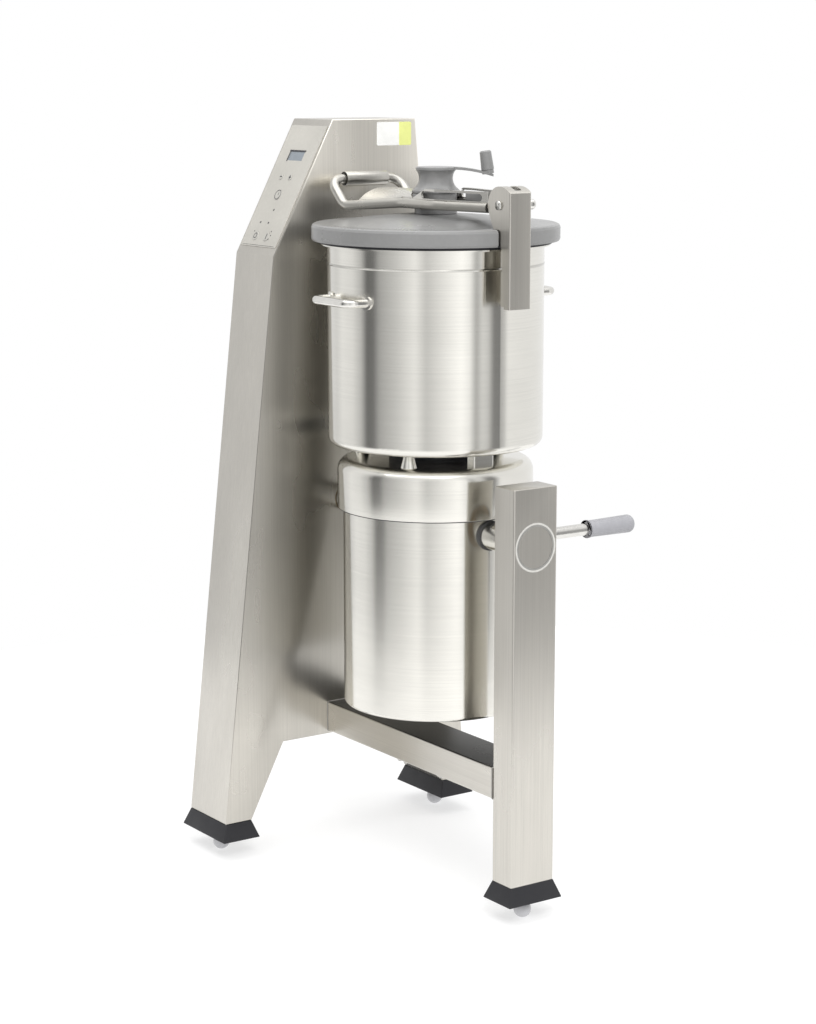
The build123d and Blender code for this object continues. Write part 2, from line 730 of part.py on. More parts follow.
def lever_grip():
    """Moulded grip with a collar at its root, fuller towards the rounded end."""
    half = outline(
        (0, 0),
        (GRIP_ROOT_RADIUS + 1, 0),
        (GRIP_ROOT_RADIUS + 1, GRIP_COLLAR),
        (GRIP_ROOT_RADIUS, GRIP_COLLAR),
        (GRIP_END_RADIUS, GRIP_LENGTH),
        (0, GRIP_LENGTH),
    )
    tip = half.vertices().sort_by(Axis.X)[-1]
    grip = revolve(fillet(tip, 10), axis=Axis.Y)
    grip = Pos(LEVER_OFFSET, GRIP_START, TILT_HEIGHT) * grip
    bore_end = LEVER_REACH - 17
    return grip - disc_y(LEVER_RADIUS + SEAT_GAP, GRIP_START - 1, bore_end, LEVER_OFFSET, TILT_HEIGHT)


STATOR_TOP = STATOR_BOTTOM + STATOR_HEIGHT
LOWER_SHIELD = STATOR_BOTTOM - WINDING_OVERHANG - 14
UPPER_SHIELD = STATOR_TOP + WINDING_OVERHANG + 14


def stator_core():
    core = disc_z(STATOR_RADIUS, STATOR_BOTTOM, STATOR_TOP)
    for angle in range(0, 360, 60):
        arm = block(STATOR_RADIUS - 4, CAN_RADIUS, -12, 12, STATOR_BOTTOM, STATOR_TOP)
        core += Rot(0, 0, angle + 30) * arm
    core &= disc_z(CAN_RADIUS - CAN_WALL - SEAT_GAP, STATOR_BOTTOM, STATOR_TOP)
    return core - disc_z(STATOR_BORE, STATOR_BOTTOM - 1, STATOR_TOP + 1)


def stator_windings():
    """End turns of the coils, one ring each side of the core."""
    rings = []
    for low in (STATOR_BOTTOM - WINDING_OVERHANG, STATOR_TOP):
        ring = disc_z(STATOR_RADIUS - 10, low, low + WINDING_OVERHANG)
        ring -= disc_z(STATOR_BORE + 8, low - 1, low + WINDING_OVERHANG + 1)
        rings.append(ring)
    return group(*rings)


def end_shield(z0):
    """Cast disc with a hub that holds a bearing."""
    thick, hub = SHIELD_THICKNESS / 2, BEARING_WIDTH / 2
    shield = disc_z(CAN_RADIUS - CAN_WALL - SEAT_GAP, z0 - thick, z0 + thick)
    shield += disc_z(SHIELD_HUB, z0 - hub, z0 + hub)
    return shield - disc_z(BEARING_RACE + SEAT_GAP, z0 - 20, z0 + 20)


def shaft_bearing(z0):
    race = disc_z(BEARING_RACE, z0 - BEARING_WIDTH / 2, z0 + BEARING_WIDTH / 2)
    return race - disc_z(SHAFT_RADIUS + RUN_GAP, z0 - 20, z0 + 20)


def rotor_core():
    bottom = STATOR_BOTTOM
    core = disc_z(STATOR_BORE - ROTOR_AIR_GAP, bottom, STATOR_TOP)
    return core - disc_z(SHAFT_RADIUS + SEAT_GAP, bottom - 1, STATOR_TOP + 1)


def drive_shaft():
    """Shaft that rises through the cap into the bowl's chimney, with two drive flats."""
    shaft = disc_z(SHAFT_RADIUS, LOWER_SHIELD - 34, CAP_TOP)
    shaft += disc_z(SPIGOT_RADIUS, CAP_TOP, CUTTER_TOP - 14 - BODY_GAP)
    flat = 40
    for side in (-1, 1):
        y = side * (SPIGOT_RADIUS - 4 + flat / 2)
        shaft -= block(-flat, flat, y - flat / 2, y + flat / 2, CHIMNEY_TOP + 9, CUTTER_TOP)
    return shaft


def cooling_fan():
    """Moulded fan on the shaft's lower end."""
    low = LOWER_SHIELD - 32
    fan = disc_z(34, low, low + 16) + disc_z(FAN_RADIUS, low, low + 2.5)
    for step in range(FAN_BLADES):
        blade = block(30, FAN_RADIUS - 1, -1.5, 1.5, low + 2, low + 16)
        fan += Rot(0, 0, 360 * step / FAN_BLADES) * blade
    return fan - disc_z(SHAFT_RADIUS + SEAT_GAP, low - 1, low + 20)


# Bowl: a spun shell with a chimney, bail handles and the lid's hinge bracket

def bowl_shell():
    shell = disc_z(BOWL_RADIUS, BOWL_BOTTOM, BOWL_TOP)
    shell = fillet(shell.edges().group_by(Axis.Z)[0], BOWL_CORNER)
    shell += disc_z(RIM_RADIUS, BOWL_TOP - RIM_THICKNESS, BOWL_TOP)
    shell += turned(
        outline(
            (BOWL_RADIUS - 1, BEAD_HEIGHT - 2),
            (BOWL_RADIUS, BEAD_HEIGHT - 2),
            (BOWL_RADIUS + BEAD_PROUD, BEAD_HEIGHT),
            (BOWL_RADIUS, BEAD_HEIGHT + 2),
            (BOWL_RADIUS - 1, BEAD_HEIGHT + 2),
        )
    )
    inside = disc_z(BOWL_RADIUS - BOWL_WALL, BOWL_BOTTOM + BOWL_WALL, BOWL_TOP + 1)
    shell -= fillet(inside.edges().group_by(Axis.Z)[0], BOWL_CORNER - BOWL_WALL)
    shell -= disc_z(CHIMNEY_RADIUS + SEAT_GAP, BOWL_BOTTOM - 1, BOWL_BOTTOM + 10)
    return shell + bowl_lug()


def bowl_chimney():
    """Tube welded into the bowl's floor, with the ring below that centres the bowl."""
    tube = disc_z(CHIMNEY_RADIUS, BOWL_BOTTOM - 6, CHIMNEY_TOP)
    low = BOWL_BOTTOM - HUB_DROP
    tube += disc_z(HUB_RADIUS, low, BOWL_BOTTOM) - disc_z(HUB_BORE, low - 1, BOWL_BOTTOM - 6)
    return tube - disc_z(CHIMNEY_RADIUS - CHIMNEY_WALL, low - 1, CHIMNEY_TOP + 1)


def bail_handle(side):
    """Bent round bar, coped to the bowl, with a welded rose at each root."""
    root = side * (sqrt(BOWL_RADIUS**2 - BAIL_HALF**2) - 8)
    out = side * (BAIL_OUT - BAIL_TUBE)
    path = FilletPolyline(
        (-BAIL_HALF, root, BAIL_HEIGHT),
        (-BAIL_HALF, out, BAIL_HEIGHT),
        (BAIL_HALF, out, BAIL_HEIGHT),
        (BAIL_HALF, root, BAIL_HEIGHT),
        radius=BAIL_BEND,
    )
    bail = tube_along(path, BAIL_TUBE)
    low, high = BAIL_HEIGHT - 2 * BAIL_ROSE, BAIL_HEIGHT + 2 * BAIL_ROSE
    near = disc_z(BOWL_RADIUS + ROSE_THICKNESS, low, high)
    for end in (-1, 1):
        face, back = sorted((root, root + side * 2 * BAIL_ROSE))
        bail += disc_y(BAIL_ROSE, face, back, end * BAIL_HALF, BAIL_HEIGHT) & near
    return bail - disc_z(BOWL_RADIUS, low, high)


def bracket_side(inset=0.0):
    """Side of the hinge bracket: its head round the pin, narrow down the bowl."""
    web = (BRACKET_OUT - inset, PIN_HEIGHT + HEAD_SHOULDER - inset)
    crown = (PIN_REACH, PIN_HEIGHT + HEAD_RADIUS - inset)
    drop = 8
    nose = (PIN_REACH - sqrt((HEAD_RADIUS - inset) ** 2 - drop**2), PIN_HEIGHT - drop)
    lines = Polyline(
        nose,
        (PIN_REACH - 23, LID_RIM_TOP + 13),
        (BRACKET_OUT - 24, LID_BOTTOM - 3),
        (BRACKET_OUT - 22, BEAD_HEIGHT),
        (BRACKET_OUT - 15.5, BRACKET_BOTTOM),
        (BRACKET_OUT - inset, BRACKET_BOTTOM),
        web,
    )
    over = TangentArc(crown, web, tangent=(1, 0))
    return make_face(lines + over + TangentArc(crown, nose, tangent=(-1, 0)))


def hinge_bracket():
    """Folded channel up the bowl's side, its web bent over the head as a slotted roof."""
    channel = slab_y(bracket_side(), -BRACKET_HALF, BRACKET_HALF)
    channel = fillet(channel.edges().filter_by(Axis.Z).sort_by(Axis.X)[-2:], 2.5)
    half = BRACKET_HALF - BRACKET_SHEET
    web, top = BRACKET_OUT - BRACKET_SHEET, PIN_HEIGHT + HEAD_RADIUS + 1
    channel -= slab_y(bracket_side(BRACKET_SHEET), -half, half)
    channel -= block(PIN_REACH - 60, PIN_REACH - ROOF_START, -half, half, BRACKET_BOTTOM - 1, top)
    channel -= block(PIN_REACH - 60, web, -half, half, BRACKET_BOTTOM - 1, PIN_HEIGHT)
    slot_end = PIN_REACH + ROOF_SLOT_END
    channel -= block(PIN_REACH - 60, slot_end, -ROOF_SLOT, ROOF_SLOT, PIN_HEIGHT, top)
    low, high = BRACKET_BOTTOM + 4, BRACKET_BOTTOM + 4 + SPACER_HEIGHT
    spacer = block(BOWL_RADIUS - 14, web, -half, half, low, high)
    spacer -= disc_z(BOWL_RADIUS + BEAD_PROUD + 0.2, high - 6, high + 40)
    channel += spacer - disc_z(BOWL_RADIUS, BRACKET_BOTTOM, high + 1)
    return channel - disc_y(PIN_RADIUS + SEAT_GAP, -40, 40, PIN_REACH, PIN_HEIGHT)


def hinge_pin():
    """Pin across the flanges, with a flat head in front and a dome nut behind."""
    end = BRACKET_HALF + 15
    pin = disc_y(PIN_RADIUS, -BRACKET_HALF - 1, end - 4, PIN_REACH, PIN_HEIGHT)
    pin += disc_y(PIN_RADIUS + 2, -BRACKET_HALF - 3, -BRACKET_HALF, PIN_REACH, PIN_HEIGHT)
    nut = disc_y(PIN_NUT, BRACKET_HALF, end, PIN_REACH, PIN_HEIGHT)
    return pin + fillet(nut.edges().group_by(Axis.Y)[-1], 6)


# Cutter: three sickle blades clamped on a sleeve that drops over the chimney

def blade_sleeve():
    """Sleeve over the chimney; its closed top has the socket for the shaft's flats."""
    sleeve = disc_z(CUTTER_RADIUS, CUTTER_FOOT, CUTTER_TOP)
    sleeve += disc_z(COLLAR_RADIUS, CUTTER_FOOT, BLADE_LEVELS[0])
    sleeve -= disc_z(CUTTER_BORE, CUTTER_FOOT - 1, CHIMNEY_TOP + 7)
    socket = disc_z(SPIGOT_RADIUS + RUN_GAP, CHIMNEY_TOP, CUTTER_TOP - 14)
    flat = 40
    for side in (-1, 1):
        y = side * (SPIGOT_RADIUS - 4 + RUN_GAP + flat / 2)
        socket -= block(-flat, flat, y - flat / 2, y + flat / 2, CHIMNEY_TOP + 9.5, CUTTER_TOP)
    return sleeve - socket


def sickle_blade(level, angle):
    """One swept blade with a hollow back and a ground leading edge, on its own collar."""
    lead = ThreePointArc((24, 34), (0.62 * BLADE_REACH, 41), (BLADE_REACH, -14))
    tip = Line((BLADE_REACH, -14), (BLADE_REACH - 9, -24))
    back = ThreePointArc((BLADE_REACH - 9, -24), (0.6 * BLADE_REACH, 10), (24, -34))
    root = Line((24, -34), (24, 34))
    blade = slab_z(make_face(lead + tip + back + root), level, level + BLADE_THICKNESS)
    edges = blade.edges().group_by(Axis.Z)[-1].sort_by(Axis.Y)
    blade = chamfer(edges[-1], length=BLADE_THICKNESS - 1, length2=BLADE_BEVEL)
    blade += disc_z(COLLAR_RADIUS, level, level + COLLAR_HEIGHT)
    blade -= disc_z(CUTTER_RADIUS + SEAT_GAP, level - 1, level + COLLAR_HEIGHT + 1)
    return Rot(0, 0, angle) * blade


def blade_spacers():
    """Plain rings that set the distance between the blades."""
    rings = []
    for low, high in zip(BLADE_LEVELS, BLADE_LEVELS[1:] + [CUTTER_TOP]):
        ring = disc_z(COLLAR_RADIUS - 2, low + COLLAR_HEIGHT, high)
        rings.append(ring - disc_z(CUTTER_RADIUS + SEAT_GAP, low, high + 1))
    return group(*rings)


def blade_knob():
    """Clamp nut with a waist to lift the cutter by."""
    top = CUTTER_TOP + BLADE_KNOB_HEIGHT
    section = outline(
        (0, CUTTER_TOP),
        (COLLAR_RADIUS - 2, CUTTER_TOP),
        (COLLAR_RADIUS - 2, CUTTER_TOP + 5),
        (BLADE_KNOB_RADIUS - 8, CUTTER_TOP + 10),
        (BLADE_KNOB_RADIUS - 8, top - 14),
        (BLADE_KNOB_RADIUS, top - 9),
        (BLADE_KNOB_RADIUS, top - 3),
        (BLADE_KNOB_RADIUS - 4, top),
        (0, top),
    )
    return turned(section)


# Lid: a moulded dome with a hollow rim, its seal, neck and carrier

def dome_drop(radius):
    """How far the dome lies below its crown at a radius."""
    return LID_RISE * (radius / LID_SHOULDER) ** 2


def lid_dome():
    inner = LID_SHOULDER - LID_WALL
    under = LID_CROWN - LID_WALL
    upper = ThreePointArc(
        (LID_SHOULDER, LID_RIM_TOP),
        (LID_SHOULDER / 2, LID_CROWN - dome_drop(LID_SHOULDER / 2)),
        (WIPER_SHAFT + 1, LID_CROWN),
    )
    lower = ThreePointArc(
        (WIPER_SHAFT + 1, under),
        (LID_SHOULDER / 2, under - dome_drop(LID_SHOULDER / 2)),
        (inner - 4, under - dome_drop(inner - 4)),
    )
    rim = Polyline(
        (inner - 4, under - dome_drop(inner - 4)),
        (inner, LID_BOTTOM),
        (inner + LID_WALL, LID_BOTTOM),
        (inner + LID_WALL, LID_RIM_TOP - LID_WALL),
        (LID_RADIUS - LID_WALL, LID_RIM_TOP - LID_WALL),
        (LID_RADIUS - LID_WALL, LID_BOTTOM),
        (LID_RADIUS - 2, LID_BOTTOM),
        (LID_RADIUS, LID_BOTTOM + 4),
        (LID_RADIUS, LID_RIM_TOP - 6),
        (LID_RADIUS - 2, LID_RIM_TOP - 2),
        (LID_RADIUS - 6, LID_RIM_TOP),
        (LID_SHOULDER, LID_RIM_TOP),
    )
    hole = Line((WIPER_SHAFT + 1, LID_CROWN), (WIPER_SHAFT + 1, under))
    dome = turned(make_face(rim + upper + hole + lower))
    return dome - notch_room()


def notch_room():
    """The gap in the lid's rim that clears the hinge bracket."""
    start = PIN_REACH - 20
    return block(start, LID_RADIUS + 5, -NOTCH_HALF, NOTCH_HALF, LID_BOTTOM - 5, LID_RIM_TOP + 5)


def lid_seal():
    """Rubber ring under the rim that closes the bowl."""
    inner = LID_SHOULDER - LID_WALL
    low = LID_BOTTOM - SEAL_HEIGHT
    section = outline(
        (inner, low + 2),
        (inner + 2, low),
        (SEAL_OUTER, low),
        (SEAL_OUTER, low + 3),
        (SEAL_OUTER + 3, LID_BOTTOM),
        (inner, LID_BOTTOM),
    )
    return turned(section)


def notch_pad():
    """Rubber bumper that fills the rim's notch beside the bracket."""
    start = PIN_REACH - 20 + SEAT_GAP
    inner = LID_SHOULDER - LID_WALL
    wedge = outline(
        (start, LID_BOTTOM),
        (BRACKET_OUT - 28, LID_BOTTOM),
        (start + 5, LID_RIM_TOP - 1),
        (start, LID_RIM_TOP - 1),
    )
    half = NOTCH_HALF - SEAT_GAP
    return slab_y(wedge, -half, half) - disc_z(inner, LID_BOTTOM - 1, LID_RIM_TOP)


def lid_carrier():
    """Boss between the lid and the arm, with a lug towards each cheek of the yoke."""
    boss = disc_z(CARRIER_RADIUS, LID_CROWN, CARRIER_TOP)
    lug = YOKE_HALF - YOKE_SHEET / 2 - SEAT_GAP
    boss += block(-12, 12, -lug, lug, ARM_HEIGHT + ARM_TUBE + 2, CARRIER_TOP - 2)
    boss -= arm_tube()
    return boss - disc_z(WIPER_SHAFT + 1, LID_CROWN - 1, CARRIER_TOP + 1)


def lid_neck():
    """Waisted collar that guides the wiper's shaft."""
    foot_line = Polyline(
        (WIPER_SHAFT + RUN_GAP, CARRIER_TOP),
        (NECK_FLANGE, CARRIER_TOP),
        (NECK_FLANGE, CARRIER_TOP + 3),
        (NECK_FLANGE - 3, CARRIER_TOP + 6),
    )
    waist = ThreePointArc(
        (NECK_FLANGE - 3, CARRIER_TOP + 6),
        (NECK_WAIST, CARRIER_TOP + 19),
        (NECK_MOUTH, NECK_TOP),
    )
    top = Polyline(
        (NECK_MOUTH, NECK_TOP), (WIPER_SHAFT + RUN_GAP, NECK_TOP), (WIPER_SHAFT + RUN_GAP, CARRIER_TOP)
    )
    return turned(make_face(foot_line + waist + top))


# Lid arm: one bent tube, a yoke and a crowned web, hinged in the bracket

def arm_path():
    """The tube's centre line: out along one side, round the hand loop and back."""
    near = [
        (YOKE_END, -ARM_ROOT_HALF - ARM_TUBE, ARM_HEIGHT),
        (YOKE_KNEE, -YOKE_HALF, ARM_HEIGHT),
        (-YOKE_FRONT, -YOKE_HALF, ARM_HEIGHT - 0.5),
        (-LOOP_DIP_REACH, -LOOP_HALF, LOOP_DIP_HEIGHT),
        (-GRIP_REACH, -LOOP_HALF, GRIP_HEIGHT),
    ]
    far = [(x, -y, z) for x, y, z in reversed(near)]
    bends = [60, 60, 30, LOOP_BEND, LOOP_BEND, 30, 60, 60]
    return FilletPolyline(*near, *far, radius=bends)


def arm_tube():
    return tube_along(arm_path(), ARM_TUBE)


def yoke_plan(inset, end=YOKE_END):
    half = YOKE_HALF + YOKE_SHEET / 2 - inset
    tail = ARM_ROOT_HALF + ARM_TUBE + YOKE_SHEET / 2 - inset
    return outline(
        (inset - YOKE_FRONT, -half),
        (YOKE_KNEE, -half),
        (YOKE_END, -tail),
        (end, -tail),
        (end, tail),
        (YOKE_END, tail),
        (YOKE_KNEE, half),
        (inset - YOKE_FRONT, half),
    )


def arm_yoke():
    """Channel on top of the tubes, sloped at its front, with a long window in each cheek."""
    low, top = ARM_HEIGHT, YOKE_TOP
    yoke = slab_z(yoke_plan(0, YOKE_END + 1), low, top)
    yoke -= slab_z(yoke_plan(YOKE_SHEET, YOKE_END + 2), low - 1, top - 3)
    yoke -= slab_z(yoke_plan(YOKE_SHEET + YOKE_LIP, YOKE_END + 2), top - 4, top + 1)
    window_low, window_high = low + ARM_TUBE + 1, top - 4
    length = YOKE_END - WINDOW_END - WINDOW_START
    middle = Pos(WINDOW_START + length / 2, (window_low + window_high) / 2)
    window = middle * SlotOverall(length, window_high - window_low)
    yoke -= slab_y(window, -2 * YOKE_HALF, 2 * YOKE_HALF)
    front = outline(
        (-YOKE_FRONT - 1, low + ARM_TUBE / 2),
        (YOKE_SLOPE / 2 - YOKE_FRONT, low + ARM_TUBE / 2),
        (3 * YOKE_SLOPE / 2 - YOKE_FRONT, top + 1),
        (-YOKE_FRONT - 1, top + 1),
    )
    yoke -= slab_y(front, -2 * YOKE_HALF, 2 * YOKE_HALF)
    yoke -= disc_z(NECK_FLANGE + 0.5, CARRIER_TOP - 1, top + 1)
    return yoke - arm_tube()


def arm_web():
    """Crowned cover plate between the two legs of the tube, up to the neck's flange."""
    half = LOOP_HALF - WEB_INSET
    edge, crown = ARM_HEIGHT - WEB_EDGE, ARM_HEIGHT + WEB_CROWN
    over = ThreePointArc((-half, edge), (0, crown), (half, edge))
    under_edge, under_crown = edge - WEB_SHEET, crown - WEB_SHEET
    under = ThreePointArc((half, under_edge), (0, under_crown), (-half, under_edge))
    right = Line((half, edge), (half, under_edge))
    left = Line((-half, under_edge), (-half, edge))
    arch = slab_x(make_face(over + right + under + left), -WEB_REACH, 0)
    inner = YOKE_HALF - YOKE_SHEET / 2 - SEAT_GAP
    plan = outline(
        (-WEB_REACH, -half),
        (-YOKE_FRONT, -YOKE_HALF),
        (-YOKE_FRONT, -inner),
        (0, -inner),
        (0, inner),
        (-YOKE_FRONT, inner),
        (-YOKE_FRONT, YOKE_HALF),
        (-WEB_REACH, half),
    )
    arch &= slab_z(plan, under_edge - 1, crown + 1)
    arch -= disc_z(NECK_FLANGE + 1, under_edge, NECK_TOP)
    return arch - arm_tube()


def hinge_drum():
    """Knuckle on the pin between the flanges; its tongue runs through the bracket's slot."""
    half = BRACKET_HALF - BRACKET_SHEET - BODY_GAP
    drum = disc_y(DRUM_RADIUS, -half, half, PIN_REACH, PIN_HEIGHT)
    root_half = ARM_ROOT_HALF + ARM_TUBE - YOKE_SHEET
    root = YOKE_END - TONGUE_REACH
    drum += block(root, YOKE_END, -root_half, root_half, ARM_HEIGHT - 4, YOKE_TOP - 4)
    low, high = PIN_HEIGHT - TONGUE_HEIGHT, PIN_HEIGHT + TONGUE_HEIGHT
    drum += block(YOKE_END - 1, PIN_REACH, -TONGUE_HALF, TONGUE_HALF, low, high)
    drum -= arm_tube()
    return drum - disc_y(PIN_RADIUS + RUN_GAP, -half - 1, half + 1, PIN_REACH, PIN_HEIGHT)


def roller_grip():
    """Loose steel sleeve on the hand loop's cross bar."""
    half = ROLLER_LENGTH / 2
    sleeve = disc_y(ROLLER_RADIUS, -half, half, -GRIP_REACH, GRIP_HEIGHT)
    bore = disc_y(ROLLER_RADIUS - ROLLER_WALL, -half - 1, half + 1, -GRIP_REACH, GRIP_HEIGHT)
    return sleeve - bore


def roller_bushes():
    """Plastic bushes set into the roller's ends."""
    bushes = []
    for side in (-1, 1):
        low, high = sorted((side * (ROLLER_LENGTH / 2 - 4), side * (ROLLER_LENGTH / 2 - 16)))
        bush = disc_y(ROLLER_RADIUS - ROLLER_WALL - SEAT_GAP, low, high, -GRIP_REACH, GRIP_HEIGHT)
        bore = disc_y(ARM_TUBE + RUN_GAP, low - 1, high + 1, -GRIP_REACH, GRIP_HEIGHT)
        bushes.append(bush - bore)
    return group(*bushes)


# Wiper: crank on top, shaft through the neck, bent arm and scraper inside

CRANK_BOTTOM = NECK_TOP + BODY_GAP
CRANK_TOP = CRANK_BOTTOM + CRANK_DISC_HEIGHT


def crank_arm():
    """Round plate with an arm that curves out and down to the knob."""
    start, end = CRANK_DISC - 10, CRANK_REACH + CRANK_WIDTH / 2
    middle = (end + CRANK_DISC) / 2
    fall, sag = CRANK_TOP - CRANK_DROP, CRANK_TOP - CRANK_DROP / 3
    thick = CRANK_THICKNESS
    over = ThreePointArc((start, CRANK_TOP), (middle, sag), (end, fall))
    under = ThreePointArc((end, fall - thick), (middle, sag - thick), (start, CRANK_TOP - thick))
    tip = Line((end, fall), (end, fall - thick))
    root = Line((start, CRANK_TOP - thick), (start, CRANK_TOP))
    arm = slab_y(make_face(over + tip + under + root), -CRANK_DISC, CRANK_DISC)
    plan = outline(
        (0, -CRANK_DISC * 0.7),
        (CRANK_DISC, -CRANK_WIDTH * 0.65),
        (CRANK_REACH, -CRANK_WIDTH / 2),
        (CRANK_REACH, CRANK_WIDTH / 2),
        (CRANK_DISC, CRANK_WIDTH * 0.65),
        (0, CRANK_DISC * 0.7),
    )
    plan += Pos(CRANK_REACH, 0) * Circle(CRANK_WIDTH / 2)
    arm &= slab_z(plan, fall - 10, CRANK_TOP + 10)
    disc = disc_z(CRANK_DISC, CRANK_BOTTOM, CRANK_TOP)
    disc = chamfer(disc.edges().group_by(Axis.Z)[-1], 1.5)
    return Rot(0, 0, CRANK_ANGLE) * (arm + disc)


KNOB_FOOT = CRANK_TOP - CRANK_DROP * 0.72


def knob_place():
    """Frame of the knob: on the arm's end, leaning in with the arm's slope."""
    return Rot(0, 0, CRANK_ANGLE) * Pos(CRANK_REACH, 0, KNOB_FOOT) * Rot(0, -KNOB_LEAN, 0)


def crank_knob():
    section = outline(
        (KNOB_PIN + RUN_GAP, KNOB_CLEAR),
        (KNOB_RADIUS, KNOB_CLEAR),
        (KNOB_RADIUS - 1.2, KNOB_HEIGHT - 2),
        (KNOB_RADIUS - 3.5, KNOB_HEIGHT),
        (0, KNOB_HEIGHT),
        (0, KNOB_HEIGHT - 5),
        (KNOB_PIN + RUN_GAP, KNOB_HEIGHT - 5),
    )
    return knob_place() * turned(section)


def knob_pin():
    """Pin that the knob turns on, with the boss it stands on."""
    pin = disc_z(KNOB_PIN, 0, KNOB_HEIGHT - 5.5)
    return knob_place() * (pin + disc_z(KNOB_RADIUS - 1, -3, KNOB_CLEAR - BODY_GAP))


def wiper_shaft():
    low = WIPER_ARM_HEIGHT - WIPER_ROD - 4
    shaft = disc_z(WIPER_SHAFT, low, CRANK_BOTTOM)
    return shaft + disc_z(WIPER_SHAFT + 7, low, WIPER_ARM_HEIGHT + WIPER_ROD + 4)


def wiper_arm():
    """Round bar from the shaft's hub, bent down along the bowl's wall."""
    path = FilletPolyline(
        (0, WIPER_SHAFT + 2, WIPER_ARM_HEIGHT),
        (0, WIPER_REACH, WIPER_ARM_HEIGHT),
        (0, WIPER_REACH, WIPER_DEPTH + 4),
        radius=18,
    )
    return tube_along(path, WIPER_ROD) - wiper_shaft()


def wiper_blade():
    """Plastic scraper clipped on the bar's upright."""
    high = WIPER_ARM_HEIGHT - 18 - WIPER_ROD
    blade = block(-4, 4, WIPER_REACH - 9, WIPER_BLADE_REACH, WIPER_DEPTH, high)
    blade = chamfer(blade.edges().filter_by(Axis.Z).sort_by(Axis.Y)[-2:], 3)
    return blade - disc_z(WIPER_ROD + SEAT_GAP, WIPER_DEPTH + 3.9, high + 1, 0, WIPER_REACH)


# Controls on the slope, and the electrics inside the pedestal

def control_panel():
    """Stepped membrane carrier with openings for the keys and the display."""
    panel = plate_on(SLOPE, 0, PANEL_MID, PANEL_WIDTH, PANEL_LENGTH, 0, PANEL_THICKNESS)
    panel -= plate_on(SLOPE, 0, DISPLAY_AT, DISPLAY_WIDTH, DISPLAY_HEIGHT, -1, PANEL_THICKNESS + 1)
    for x, along, radius in KEYS.values():
        panel -= disc_on(SLOPE, x, along, radius + BODY_GAP, -1, PANEL_THICKNESS + 1)
    return panel


def display_window():
    gap = 2 * SEAT_GAP
    window = plate_on(
        SLOPE, 0, DISPLAY_AT, DISPLAY_WIDTH - gap, DISPLAY_HEIGHT - gap, -1, PANEL_THICKNESS - 0.4
    )
    return window + plate_on(
        SLOPE, 0, DISPLAY_AT, DISPLAY_WIDTH + 6, DISPLAY_HEIGHT + 6, -3, -SEAT_GAP
    )


def key_cap(x, along, radius):
    """Push key: a cap in the panel's hole, a flange under it and a stem to its switch."""
    cap = disc_on(SLOPE, x, along, radius, -2, PANEL_THICKNESS + KEY_PROUD)
    cap = chamfer(cap.edges().sort_by(Axis(SLOPE.origin, SLOPE.z_dir))[-1], 0.5)
    cap += disc_on(SLOPE, x, along, radius + KEY_FLANGE, -2 - BODY_GAP, -BODY_GAP)
    stem_end = BOARD_THICKNESS / 2 - BOARD_DEPTH + 4 + KEY_TRAVEL + BODY_GAP
    return cap + disc_on(SLOPE, x, along, 2.5, stem_end, -1)


def control_board():
    """Circuit board on four spacers behind the panel, with a switch under each key."""
    width, length = PANEL_WINDOW - 8, PANEL_LENGTH - BOARD_END
    low = -BOARD_DEPTH - BOARD_THICKNESS / 2
    board = plate_on(SLOPE, 0, PANEL_MID, width, length, low, low + BOARD_THICKNESS)
    for x in (5 - width / 2, width / 2 - 5):
        for along in (PANEL_MID + 5 - length / 2, PANEL_MID + length / 2 - 5):
            board += disc_on(SLOPE, x, along, 4, low + 1, -SEAT_GAP)
    for x, along, _ in KEYS.values():
        board += plate_on(SLOPE, x, along, 9, 9, low + 1, low + BOARD_THICKNESS + 4)
    return board


def electric_rack():
    """Mounting plate on four standoffs inside the pedestal's outer side."""
    outer = SHEET - PEDESTAL_OUT
    front = outer + RACK_STANDOFF
    top = RACK_BOTTOM + RACK_HEIGHT
    rack = block(front, front + SHEET, -RACK_WIDTH / 2, RACK_WIDTH / 2, RACK_BOTTOM, top)
    for y in (-1, 1):
        for z in (RACK_BOTTOM + 15, top - 15):
            rack += disc_x(6, outer, front, y * (RACK_WIDTH / 2 - 12), z)
    return rack


RACK_FACE = SHEET - PEDESTAL_OUT + RACK_STANDOFF + SHEET


def speed_drive():
    """Motor controller with cooling fins on its free side."""
    low = RACK_BOTTOM + RACK_HEIGHT - DRIVE_HEIGHT - 20
    half = DRIVE_WIDTH / 2
    drive = block(RACK_FACE, RACK_FACE + DRIVE_DEPTH, -half, half, low, low + DRIVE_HEIGHT)
    drive = fillet(drive.edges().filter_by(Axis.X), 4)
    face = RACK_FACE + DRIVE_DEPTH
    for step in range(5):
        y = (step - 2) * DRIVE_WIDTH / 6
        drive -= block(face - DRIVE_FIN, face + 1, y - 5, y + 5, low + 12, low + DRIVE_HEIGHT + 1)
    return drive


def contactors():
    """Motor contactor and control relay side by side on the rack."""
    low, half = RACK_BOTTOM + CONTACTOR_RISE, CONTACTOR_WIDTH / 2
    units = []
    for side in (-1, 1):
        y = side * (half + 4)
        body = block(RACK_FACE, RACK_FACE + 40, y - half, y + half, low, low + 74)
        body += block(RACK_FACE + 39, RACK_FACE + 56, y - 14, y + 14, low + 18, low + 56)
        units.append(body)
    return group(*units)


def terminal_block():
    low = RACK_BOTTOM + TERMINAL_RISE
    strip = block(RACK_FACE, RACK_FACE + 26, -60, 60, low, low + 34)
    for step in range(7):
        y = (step - 3) * 16
        strip -= disc_x(3.5, RACK_FACE + 14, RACK_FACE + 27, y, low + 17)
    return strip


def wiper():
    """Shaft and bent arm, welded together."""
    return wiper_shaft() + wiper_arm()


def sickle_blades():
    return group(*(sickle_blade(level, 120 * i) for i, level in enumerate(BLADE_LEVELS)))


